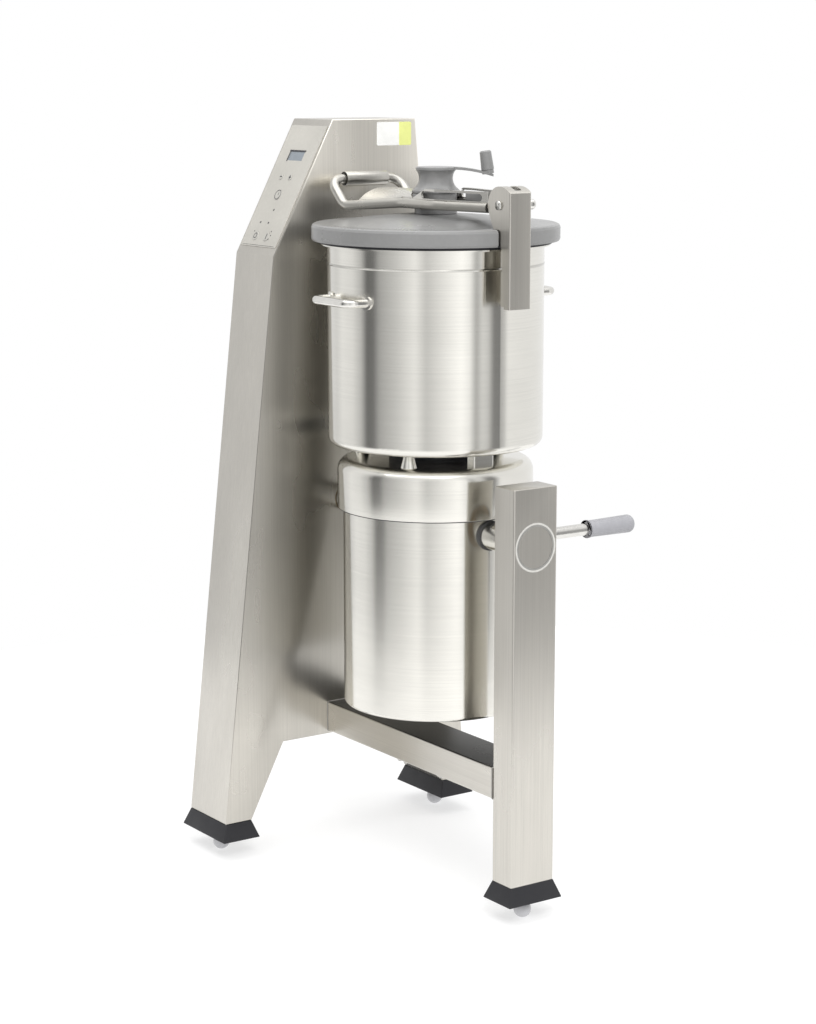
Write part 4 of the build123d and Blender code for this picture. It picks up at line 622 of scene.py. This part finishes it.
panel_low, panel_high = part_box("control_panel")
panel_foot = Vector((
    (panel_low.x + panel_high.x) / 2,
    panel_low.y,
    panel_low.z + PANEL_THICKNESS * math.sin(PANEL_LEAN),
))
up_slope = Vector((0.0, math.sin(PANEL_LEAN), math.cos(PANEL_LEAN)))
off_slope = Vector((0.0, -math.cos(PANEL_LEAN), math.sin(PANEL_LEAN)))
slope_turn = (math.pi / 2 - PANEL_LEAN, 0.0, 0.0)


def on_slope(across, along, proud):
    """A place on the panel, in metres from the slope's foot, and how far off its face."""
    step = (along - PANEL_START) * up_slope + proud * off_slope
    return panel_foot + Vector((across, 0.0, 0.0)) + step


def finish_print(piece, body, name):
    """Gives a flat sign its thickness and puts it where it belongs."""
    piece.name = name
    bpy.ops.object.transform_apply(location=True, rotation=True, scale=True)
    bpy.ops.object.mode_set(mode="EDIT")
    bpy.ops.mesh.select_all(action="SELECT")
    bpy.ops.mesh.extrude_region_move(TRANSFORM_OT_translate={"value": off_slope * PRINT_THICKNESS})
    bpy.ops.mesh.select_all(action="SELECT")
    bpy.ops.mesh.normals_make_consistent(inside=False)
    bpy.ops.object.mode_set(mode="OBJECT")
    piece.data.materials.append(panel_ink)
    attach(piece, body)


def print_ring(name, across, along, radius, width, body, proud=0.0):
    """A printed ring: a disc inset by its line's width, its middle taken out."""
    bpy.ops.object.select_all(action="DESELECT")
    bpy.ops.mesh.primitive_circle_add(
        vertices=40, radius=radius, fill_type="NGON",
        location=on_slope(across, along, proud), rotation=slope_turn,
    )
    piece = bpy.context.active_object
    bpy.ops.object.mode_set(mode="EDIT")
    bpy.ops.mesh.select_all(action="SELECT")
    bpy.ops.mesh.inset(thickness=width)
    bpy.ops.mesh.delete(type="FACE")
    bpy.ops.object.mode_set(mode="OBJECT")
    finish_print(piece, body, name)


def print_bar(name, across, along, width, length, body, proud=0.0):
    """A printed bar with softened corners."""
    bpy.ops.object.select_all(action="DESELECT")
    bpy.ops.mesh.primitive_plane_add(
        size=1.0, location=on_slope(across, along, proud), rotation=slope_turn
    )
    piece = bpy.context.active_object
    piece.scale = (width, length, 1.0)
    bpy.ops.object.transform_apply(location=False, rotation=False, scale=True)
    bpy.ops.object.mode_set(mode="EDIT")
    bpy.ops.mesh.select_all(action="SELECT")
    bpy.ops.mesh.bevel(offset=0.25 * min(width, length), segments=3, affect="VERTICES")
    bpy.ops.object.mode_set(mode="OBJECT")
    finish_print(piece, body, name)


print_ring("print_speed_ring", -0.005, 0.123, 0.0098, 0.0012, "key_speed_ring_body", KEY_PROUD)
print_bar("print_speed_tick", -0.0035, 0.1245, 0.0012, 0.0050, "key_speed_ring_body", KEY_PROUD)
print_bar("print_minus", -0.021, 0.160, 0.0072, 0.0022, "key_timer_minus_body", KEY_PROUD)
print_bar("print_plus_level", 0.011, 0.160, 0.0072, 0.0020, "key_timer_plus_body", KEY_PROUD)
print_bar("print_plus_up", 0.011, 0.160, 0.0020, 0.0072, "key_timer_plus_body", KEY_PROUD)
print_ring("print_stop", -0.022, 0.037, 0.0056, 0.0013, "key_stop_body", KEY_PROUD)
print_bar("print_start", 0.017, 0.037, 0.0022, 0.0115, "key_start_body", KEY_PROUD)
for label, across, along in (
    ("pulse", 0.0024, 0.0917), ("stop", -0.025, 0.0648), ("start", 0.003, 0.0648),
):
    print_ring("print_lamp_" + label, across, along, LAMP_RADIUS, LAMP_LINE, "stand")
for number, (across, along) in enumerate(DOT_PLACES):
    print_ring("print_dot_%d" % number, across, along, DOT_RADIUS, DOT_LINE, "stand")
print_bar("print_rule_low", 0.0, 0.0185, 0.112, 0.0007, "stand")

window_low, window_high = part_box("display_window")
window_along = ((window_low.z + window_high.z) / 2 - panel_low.z) / math.cos(PANEL_LEAN) + PANEL_START
window_across = (window_low.x + window_high.x) / 2 - panel_foot.x
window_half = (window_high.x - window_low.x) / 2
window_tall = (window_high.z - window_low.z) / math.cos(PANEL_LEAN)
# Painted shade along the display window's top and left edges.
print_bar(
    "display_shade_top", window_across, window_along + SHADE_STRIP_UP * window_tall,
    2 * window_half, SHADE_STRIP_WIDTH, "stand", SHADE_STRIP_PROUD,
)
print_bar(
    "display_shade_left", window_across - SHADE_STRIP_ACROSS * window_half, window_along,
    SHADE_STRIP_SIDE_WIDTH, SHADE_STRIP_DOWN * window_tall, "stand", SHADE_STRIP_PROUD,
)

# Rating plate. A thin printed foil stuck high on the pedestal's inner side: white, with a
# yellow-green end and rounded corners.
PLATE_FRONT = 0.0685
PLATE_BACK = 0.1475
PLATE_SPLIT = 0.1195
PLATE_LOW = 1.350
PLATE_TOP = 1.394
PLATE_THICKNESS = 0.0003
PLATE_CORNER = 0.003
plate_white = moulding("plate_white", (0.80, 0.80, 0.78), 0.35, 1200.0, 25.0, 0.02, 0.2)
plate_lime = moulding("plate_lime", (0.70, 0.74, 0.26), 0.35, 1200.0, 25.0, 0.02, 0.2)
bpy.ops.object.select_all(action="DESELECT")
bpy.ops.mesh.primitive_plane_add(
    size=1.0,
    location=(side_high.x, (PLATE_FRONT + PLATE_BACK) / 2, (PLATE_LOW + PLATE_TOP) / 2),
    rotation=(0.0, math.pi / 2, 0.0),
)
plate = bpy.context.active_object
plate.name = "rating_plate_blank"
plate.scale = (PLATE_TOP - PLATE_LOW, PLATE_BACK - PLATE_FRONT, 1.0)
bpy.ops.object.transform_apply(location=True, rotation=True, scale=True)
bpy.ops.object.mode_set(mode="EDIT")
bpy.ops.mesh.select_all(action="SELECT")
bpy.ops.mesh.bevel(offset=PLATE_CORNER, segments=4, affect="VERTICES")
bpy.ops.mesh.select_all(action="SELECT")
bpy.ops.mesh.bisect(plane_co=(0.0, PLATE_SPLIT, 0.0), plane_no=(0.0, 1.0, 0.0))
bpy.ops.mesh.select_all(action="SELECT")
bpy.ops.mesh.extrude_region_move(TRANSFORM_OT_translate={"value": (PLATE_THICKNESS, 0.0, 0.0)})
bpy.ops.mesh.select_all(action="SELECT")
bpy.ops.mesh.normals_make_consistent(inside=False)
bpy.ops.object.mode_set(mode="OBJECT")
plate.data.materials.append(plate_white)
plate.data.materials.append(plate_lime)
for face in plate.data.polygons:
    face.material_index = 1 if face.center.y > PLATE_SPLIT else 0
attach(plate, "stand")

# Feet. Black rubber shoes, moulded and pressed on the ends of the posts, over pale nylon
# glides on stems that are set once to level the machine.
FOOT_EDGE = 0.0022
black_rubber = moulding("black_rubber", (0.014, 0.014, 0.017), 0.55, 700.0, 18.0, 0.15)
glide_nylon = moulding("glide_nylon", (0.56, 0.56, 0.58), 0.3, 900.0, 40.0, 0.04, 0.3)
rolled_copy(
    "feet", "foot_shoes", FOOT_EDGE, lambda a, b: (a - b).length > LONG_EDGE,
    "stand", black_rubber,
)
dress(glide_nylon, "glides")

# Tilt bearings and lever. Turned steel: the barrel's bright rim in the leg, hollow
# trunnions, and a rod with a moulded grip behind a dark collar.
BAR_COLOUR = (0.74, 0.73, 0.70)
BAR_ROUGH = 0.20
COLLAR_LENGTH = 0.0026
COLLAR_EDGE = 0.0007
RIM_WIDTH = 0.0032
RIM_FADE = 0.0003
RIM_DULL = 0.52
STEEP = 1.0
turned_bar = steel("turned_bar", BAR_COLOUR, BAR_ROUGH, even(500.0), even(20.0), 0.3, "level")
cross_bar = steel(
    "cross_bar", BAR_COLOUR, BAR_ROUGH, (1500.0, 60.0, 60.0), (20.0, 6.0, 6.0), 0.5, (1.0, 0.0, 0.0)
)
dress(turned_bar, "lever_rod")
bearing_rim = steel("bearing_rim", (0.86, 0.85, 0.81), 0.62, even(700.0), even(20.0), 0.0, "level")
rim_tree = bearing_rim.node_tree
barrel_low, barrel_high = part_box("bearing_barrel")
barrel_middle = (barrel_low + barrel_high) / 2
rim_coords = rim_tree.nodes.new("ShaderNodeTexCoord")
rim_from_axis = rim_tree.nodes.new("ShaderNodeVectorMath")
rim_from_axis.operation = "SUBTRACT"
rim_tree.links.new(rim_coords.outputs["Object"], rim_from_axis.inputs[0])
rim_from_axis.inputs[1].default_value = barrel_middle
rim_flat = rim_tree.nodes.new("ShaderNodeVectorMath")
rim_flat.operation = "MULTIPLY"
rim_tree.links.new(rim_from_axis.outputs["Vector"], rim_flat.inputs[0])
rim_flat.inputs[1].default_value = (0.0, 1.0, 1.0)
rim_reach = rim_tree.nodes.new("ShaderNodeVectorMath")
rim_reach.operation = "LENGTH"
rim_tree.links.new(rim_flat.outputs["Vector"], rim_reach.inputs[0])
rim_start = (barrel_high.y - barrel_low.y) / 2 - RIM_WIDTH
tone_by(
    bearing_rim,
    spread(rim_tree, rim_reach.outputs["Value"], RIM_DULL, 1.0, rim_start - RIM_FADE, rim_start),
)
dress(bearing_rim, "bearing_barrel")
dress(cross_bar, "leg_trunnion", "cable_trunnion")
# Near-black: on the trunnion ring it is partly the ring's own dark rubber and partly painted shade of the
# gap where the trunnion enters the can; under the motor cap it paints the shade line.
dark_ring_and_shade = moulding("dark_ring_and_shade", (0.055, 0.055, 0.055), 0.5, 700.0, 30.0, 0.1)
dress(dark_ring_and_shade, "trunnion_ring")
grip_plastic = moulding("grip_plastic", (0.33, 0.33, 0.35), 0.42, 1100.0, 25.0, 0.10)
dress(grip_plastic, "lever_grip")


def ease_rims(piece, width, segments):
    """Rounds the rims of a turned piece, where its faces meet at a steep angle."""
    bpy.ops.mesh.select_all(action="DESELECT")
    bpy.ops.mesh.select_mode(type="EDGE")
    for rim in bmesh.from_edit_mesh(piece.data).edges:
        rim.select = rim.calc_face_angle(0.0) > STEEP
    bmesh.update_edit_mesh(piece.data)
    bpy.ops.mesh.bevel(offset=width, segments=segments, affect="EDGES")
    close_piece()


grip_low, grip_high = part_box("lever_grip")
grip_middle = (grip_low + grip_high) / 2
bpy.ops.object.select_all(action="DESELECT")
bpy.ops.mesh.primitive_cylinder_add(
    vertices=64, radius=(grip_high.x - grip_low.x) / 2, depth=COLLAR_LENGTH,
    location=(grip_middle.x, grip_low.y + COLLAR_LENGTH / 2, grip_middle.z),
    rotation=(math.pi / 2, 0.0, 0.0),
)
collar = bpy.context.active_object
collar.name = "lever_collar"
bpy.ops.object.transform_apply(location=True, rotation=True, scale=True)
open_piece(collar)
ease_rims(collar, COLLAR_EDGE, 3)
dark_plastic = moulding("dark_plastic", (0.035, 0.035, 0.04), 0.42, 900.0, 30.0, 0.08)
collar.data.materials.append(dark_plastic)
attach(collar, "motor_unit")

# Motor unit. A rolled steel can under a spun cap, both turned to a round grain that smears
# reflections up and down, so that the room shows as upright bands. The motor inside is a
# laminated core between cast end shields, on bronze-caged bearings.
ROUND_COLOUR = (0.80, 0.785, 0.735)
ROUND_ROUGH = 0.18
ROUND_GRAIN = (7.0, 7.0, 6000.0)
ROUND_CLOUD = (2.5, 2.5, 7.0)
ROUND_SMEAR = 0.85
ROUND_BUMP = 0.006
CAP_EDGE = 0.0009
# Painted shade on the can's underside: the tone of the faces that look down, and how far down a face must
# look to take it.
UNDERSIDE_SHADE_TONE = 0.10
UNDERSIDE_SHADE_FULL = -0.95
UNDERSIDE_SHADE_FROM = -0.6
bright_round = steel(
    "bright_round", ROUND_COLOUR, ROUND_ROUGH, ROUND_GRAIN, ROUND_CLOUD, ROUND_SMEAR, UPRIGHT, ROUND_BUMP
)
dress(bright_round, "drive_shaft", "bowl_supports")
shaded_can_round = steel(
    "shaded_can_round", ROUND_COLOUR, ROUND_ROUGH, ROUND_GRAIN, ROUND_CLOUD, ROUND_SMEAR, UPRIGHT, ROUND_BUMP
)
# Painted shade: the can's faces that look down are darkened.
can_tree = shaded_can_round.node_tree
can_facing = part_of(can_tree, "Normal", "Z")
tone_by(shaded_can_round, spread(can_tree, can_facing, UNDERSIDE_SHADE_TONE, 1.0, UNDERSIDE_SHADE_FULL, UNDERSIDE_SHADE_FROM))
dress(shaded_can_round, "motor_can")
cap_low, cap_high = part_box("motor_cap")
rolled_copy(
    "motor_cap", "cap_shell", CAP_EDGE, lambda a, b: at(a.z, cap_low.z) and at(b.z, cap_low.z),
    "motor_unit", bright_round,
)
laminate = steel("laminate", (0.30, 0.30, 0.32), 0.5, (60.0, 60.0, 3000.0), even(12.0), 0.3, "level", 0.2)
dress(laminate, "stator", "rotor_core")
cast_metal = steel("cast_metal", (0.60, 0.60, 0.60), 0.55, even(420.0), even(30.0), 0.0, "level", 0.5)
dress(cast_metal, "end_shields", "brake_caliper")
bronze = steel("bronze", (0.30, 0.24, 0.17), 0.38, even(500.0), even(40.0), 0.2, "level", 0.1)
dress(bronze, "tilt_bearings", "shaft_bearings")
dress(dark_plastic, "cooling_fan")

# Cap shade line. A flat near-black ring pressed between the cap's edge and the can, put there
# as painted shade: it draws the fine dark line of the gap under the cap.
SHADE_RING_INSET = 0.0009
SHADE_RING_DEPTH = 0.0015
SHADE_RING_WIDTH = 0.0090
cap_middle = (cap_low + cap_high) / 2
bpy.ops.object.select_all(action="DESELECT")
bpy.ops.mesh.primitive_circle_add(
    vertices=128, radius=(cap_high.y - cap_low.y) / 2 - SHADE_RING_INSET, fill_type="NGON",
    location=(cap_middle.x, cap_middle.y, cap_low.z - SHADE_RING_DEPTH),
)
cap_shade_ring = bpy.context.active_object
cap_shade_ring.name = "cap_shade_line"
bpy.ops.object.transform_apply(location=True, rotation=True, scale=True)
bpy.ops.object.mode_set(mode="EDIT")
bpy.ops.mesh.select_all(action="SELECT")
bpy.ops.mesh.inset(thickness=SHADE_RING_WIDTH)
bpy.ops.mesh.delete(type="FACE")
bpy.ops.mesh.select_all(action="SELECT")
bpy.ops.mesh.extrude_region_move(TRANSFORM_OT_translate={"value": (0.0, 0.0, SHADE_RING_DEPTH)})
bpy.ops.mesh.select_all(action="SELECT")
bpy.ops.mesh.normals_make_consistent(inside=False)
close_piece()
# Painted shade: the ring's near-black colour stands for the shadow in the gap under the cap.
cap_shade_ring.data.materials.append(dark_ring_and_shade)
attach(cap_shade_ring, "motor_unit")

# Drive hub. A black rubber skirt, moulded with ribs, round the shaft seal. It is pushed over
# the cap's boss, fills the gap under the bowl and keeps what drips away from the shaft.
HUB_RADIUS = 0.0850
HUB_WALL = 0.0190
HUB_TOP = 0.8215
HUB_LIP = 0.006
HUB_RIBS = 3
HUB_RIB_DEPTH = 0.0016
HUB_RIB_SOFT = 0.0002
boss_low, boss_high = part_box("shaft_seal")
hub_middle = (boss_low + boss_high) / 2
hub_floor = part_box("bowl_supports")[0].z
bpy.ops.object.select_all(action="DESELECT")
bpy.ops.mesh.primitive_circle_add(
    vertices=96, radius=HUB_RADIUS, fill_type="NOTHING",
    location=(hub_middle.x, hub_middle.y, hub_floor),
)
hub = bpy.context.active_object
hub.name = "drive_hub_skirt"
bpy.ops.object.transform_apply(location=True, rotation=True, scale=True)
bpy.ops.object.mode_set(mode="EDIT")
bpy.ops.mesh.select_all(action="SELECT")
hub_step = (HUB_TOP - hub_floor) / (2 * HUB_RIBS + 1)
hub_waist = 1.0 - HUB_RIB_DEPTH / HUB_RADIUS
for level in range(2 * HUB_RIBS + 1):
    inward = hub_waist if level % 2 == 0 else 1.0 / hub_waist
    bpy.ops.mesh.extrude_region_move(TRANSFORM_OT_translate={"value": (0.0, 0.0, hub_step)})
    if level < 2 * HUB_RIBS:
        bpy.ops.transform.resize(value=(inward, inward, 1.0), center_override=hub_middle)
        bpy.ops.mesh.extrude_region_move(TRANSFORM_OT_translate={"value": (0.0, 0.0, HUB_RIB_SOFT)})
shrink = (HUB_RADIUS - HUB_WALL) / HUB_RADIUS
bpy.ops.mesh.extrude_region_move(TRANSFORM_OT_translate={"value": (0.0, 0.0, 0.0)})
bpy.ops.transform.resize(value=(shrink, shrink, 1.0), center_override=hub_middle)
bpy.ops.mesh.extrude_region_move(TRANSFORM_OT_translate={"value": (0.0, 0.0, -HUB_LIP)})
close_piece()
hub.data.materials.append(black_rubber)
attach(hub, "motor_unit")
dress(black_rubber, "shaft_seal")

# Electrics. A fibreglass board with solder-mask green, and the drive, contactors and
# terminals in grey mouldings on their plate; a grey gland for the supply cable.
board_mask = moulding("board_mask", (0.02, 0.10, 0.045), 0.35, 500.0, 60.0, 0.12, 0.4)
cabinet_grey = moulding("cabinet_grey", (0.05, 0.053, 0.06), 0.48, 900.0, 30.0, 0.1)
dress(board_mask, "control_board")
dress(cabinet_grey, "electric_rack", "cable_gland")

# Bowl. A spun stainless shell, turned to a round grain, with a rolled rim and a fine bead
# that stays a little duller. Its bails of bent bar are welded on, and a chimney in its
# middle keeps the shaft dry.
BOWL_ROUGH = 0.17
BOWL_CLOUD = (2.5, 2.5, 5.0)
BEAD_BELOW = 0.0352
BEAD_TONE = 0.72
BEAD_HALF = 0.0018
BEAD_FADE = 0.003
BAR_GRAIN = (40.0, 900.0, 900.0)
bowl_round = steel(
    "bowl_round", ROUND_COLOUR, BOWL_ROUGH, ROUND_GRAIN, BOWL_CLOUD, ROUND_SMEAR, UPRIGHT, ROUND_BUMP
)
bail_bar = steel("bail_bar", (0.78, 0.765, 0.73), 0.16, BAR_GRAIN, even(25.0), 0.3, "level")
bowl_tree = bowl_round.node_tree
bead_gap = bowl_tree.nodes.new("ShaderNodeMath")
bead_gap.operation = "SUBTRACT"
bowl_tree.links.new(part_of(bowl_tree, "Object", "Z"), bead_gap.inputs[0])
bead_gap.inputs[1].default_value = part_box("bowl_shell")[1].z - BEAD_BELOW
bead_off = bowl_tree.nodes.new("ShaderNodeMath")
bead_off.operation = "ABSOLUTE"
bowl_tree.links.new(bead_gap.outputs["Value"], bead_off.inputs[0])
bead_dull = spread(bowl_tree, bead_off.outputs["Value"], BEAD_TONE, 1.0, BEAD_HALF, BEAD_FADE)
tone_by(bowl_round, bead_dull)
dress(bowl_round, "bowl_shell", "bowl_chimney")
dress(bail_bar, "front_bail_handle", "rear_bail_handle")

# Lid bracket. A channel folded from satin sheet, welded beside the bowl's rim on a narrow
# spacer, with flanges that taper to the foot; a turned steel pin runs through them.
BRACKET_TAPER = 0.011
BRACKET_FOOT = 0.001
FLANGE_BEFORE = 0.004
FLANGE_BEHIND = 0.006
SPACER_SIDE = 0.0045
SEAL_GAP = 0.0005
SEAL_BELOW = 0.001
CUT_SPARE = 0.02
PIN_LONGER = 0.015
PIN_END = 0.002
bracket_low, bracket_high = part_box("hinge_bracket")
seal_low, seal_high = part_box("lid_seal")
bracket = merged_copy("hinge_bracket", "bracket_channel")
bpy.ops.object.mode_set(mode="OBJECT")
flange_back = seal_high.x + SEAL_GAP
cut_from = bracket_low - Vector(even(CUT_SPARE))
cut_to = Vector((flange_back, SPACER_SIDE, seal_low.z - SEAL_BELOW))
bpy.ops.mesh.primitive_cube_add(size=1.0, location=(cut_from + cut_to) / 2)
spacer_cut = bpy.context.active_object
spacer_cut.scale = cut_to - cut_from
bpy.ops.object.transform_apply(location=True, rotation=True, scale=True)
narrow = bracket.modifiers.new("narrow_spacer", "BOOLEAN")
narrow.operation = "DIFFERENCE"
narrow.solver = "EXACT"
narrow.object = spacer_cut
bpy.ops.object.select_all(action="DESELECT")
bracket.select_set(True)
bpy.context.view_layer.objects.active = bracket
bpy.ops.object.modifier_apply(modifier=narrow.name)
bpy.data.objects.remove(spacer_cut)
shape = open_piece(bracket)
bpy.ops.mesh.select_all(action="DESELECT")
bpy.ops.mesh.select_mode(type="VERT")
for vertex in shape.verts:
    low_end = vertex.co.z < bracket_low.z + BRACKET_FOOT
    from_back = vertex.co.x - flange_back
    vertex.select = low_end and -FLANGE_BEFORE < from_back < FLANGE_BEHIND
bmesh.update_edit_mesh(bracket.data)
bpy.ops.transform.translate(value=(BRACKET_TAPER, 0.0, 0.0))
close_piece(30.0)
bracket.data.materials.clear()
bracket.data.materials.append(satin_sheet)
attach(bracket, "bowl")
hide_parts("hinge_bracket")
pin = bpy.data.objects.new("bracket_pin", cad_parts["hinge_pin"].data.copy())
bpy.context.collection.objects.link(pin)
open_piece(pin)
bpy.ops.mesh.select_all(action="SELECT")
bpy.ops.mesh.remove_doubles(threshold=MERGE_GAP)
bpy.ops.mesh.select_all(action="DESELECT")
bpy.ops.mesh.select_mode(type="VERT")
for vertex in bmesh.from_edit_mesh(pin.data).verts:
    vertex.select = vertex.co.y > bracket_high.y + PIN_END
bmesh.update_edit_mesh(pin.data)
bpy.ops.transform.translate(value=(0.0, PIN_LONGER, 0.0))
close_piece(30.0)
pin.data.materials.clear()
pin.data.materials.append(turned_bar)
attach(pin, "bowl")
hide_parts("hinge_pin")

# Cutter. Sickle blades of ground stainless steel between plain spacers, stacked on a dark
# moulded sleeve that drops over the shaft, with a moulded knob on top.
ground_blade = steel(
    "ground_blade", (0.72, 0.72, 0.72), 0.16, (900.0, 40.0, 900.0), even(30.0), 0.5, "level"
)
dress(ground_blade, "sickle_blades", "blade_spacers")
dress(dark_plastic, "blade_sleeve", "blade_knob")

# Lid. Moulded in mid-grey plastic with a soft sheen, as are its neck, crank and knuckle.
# A black rubber ring is pressed under its rim.
lid_plastic = moulding("lid_plastic", (0.205, 0.205, 0.203), 0.30, 1000.0, 8.0, 0.05, 0.2)
dress(lid_plastic, "lid_dome", "lid_neck", "lid_carrier", "crank_arm", "crank_knob", "hinge_drum")
dress(black_rubber, "lid_seal")

# Lid arm. A bent tube, polished to a satin finish, with sheet cheeks and a crowned web;
# a loose sleeve on the hand loop turns on two dark bushes.
SLEEVE_WALL = 0.0011
SLEEVE_SHORTER = 0.004
SLEEVE_FULLER = 0.0018
SLEEVE_EDGE = 0.0003
BUSH_LENGTH = 0.008
BUSH_RECESS = 0.005
BUSH_FIT = 0.0003
BUSH_EDGE = 0.0002
END_FACING = 0.9
arm_bar = steel("arm_bar", (0.55, 0.535, 0.495), 0.29, BAR_GRAIN, even(14.0), 0.4, "level")
arm_sheet = steel(
    "arm_sheet", (0.70, 0.685, 0.645), 0.28, (20.0, 1500.0, 1500.0), (5.0, 14.0, 14.0), 0.5, (0.0, 1.0, 0.0)
)
dress(arm_bar, "arm_tube")
dress(arm_sheet, "arm_yoke", "arm_web")
roller_low, roller_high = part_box("roller_grip")
roller_middle = (roller_low + roller_high) / 2
sleeve_radius = (roller_high.x - roller_low.x) / 2 + SLEEVE_FULLER
sleeve_length = roller_high.y - roller_low.y - 2 * SLEEVE_SHORTER
bar_radius = roller_middle.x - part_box("arm_tube")[0].x


def turned_ring(name, outer, inner, length, middle, edge):
    """A ring about the roller's axis: a bored cylinder with its four rims eased."""
    bpy.ops.object.select_all(action="DESELECT")
    bpy.ops.mesh.primitive_cylinder_add(
        vertices=64, radius=outer, depth=length, end_fill_type="NGON",
        location=middle, rotation=(math.pi / 2, 0.0, 0.0),
    )
    ring = bpy.context.active_object
    ring.name = name
    bpy.ops.object.transform_apply(location=True, rotation=True, scale=True)
    shape = open_piece(ring)
    bpy.ops.mesh.select_all(action="DESELECT")
    bpy.ops.mesh.select_mode(type="FACE")
    for face in shape.faces:
        face.select = abs(face.normal.y) > END_FACING
    bmesh.update_edit_mesh(ring.data)
    bpy.ops.mesh.inset(thickness=outer - inner, use_individual=True)
    bpy.ops.mesh.bridge_edge_loops()
    bpy.ops.mesh.select_all(action="SELECT")
    bpy.ops.mesh.normals_make_consistent(inside=False)
    ease_rims(ring, edge, 2)
    return ring


sleeve = turned_ring(
    "roller_sleeve", sleeve_radius, sleeve_radius - SLEEVE_WALL, sleeve_length, roller_middle, SLEEVE_EDGE
)
sleeve.data.materials.append(arm_bar)
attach(sleeve, "hand_roller")
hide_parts("roller_grip")
for label, side in (("front", -1.0), ("rear", 1.0)):
    from_middle = side * ((sleeve_length - BUSH_LENGTH) / 2 - BUSH_RECESS)
    place = roller_middle + Vector((0.0, from_middle, 0.0))
    bush = turned_ring(
        "roller_bush_" + label, sleeve_radius - SLEEVE_WALL, bar_radius + BUSH_FIT,
        BUSH_LENGTH, place, BUSH_EDGE,
    )
    bush.data.materials.append(dark_plastic)
    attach(bush, "hand_roller")

# Wiper. A bent bar of polished steel that carries a pale nylon scraper; the crank on the
# lid sweeps it round the bowl's wall.
wiper_bar = steel("wiper_bar", (0.75, 0.74, 0.72), 0.16, (500.0, 500.0, 60.0), even(30.0), 0.3, "level")
scraper_nylon = moulding("scraper_nylon", (0.66, 0.66, 0.64), 0.38, 900.0, 40.0, 0.05)
dress(wiper_bar, "wiper_arm")
dress(scraper_nylon, "wiper_blade")
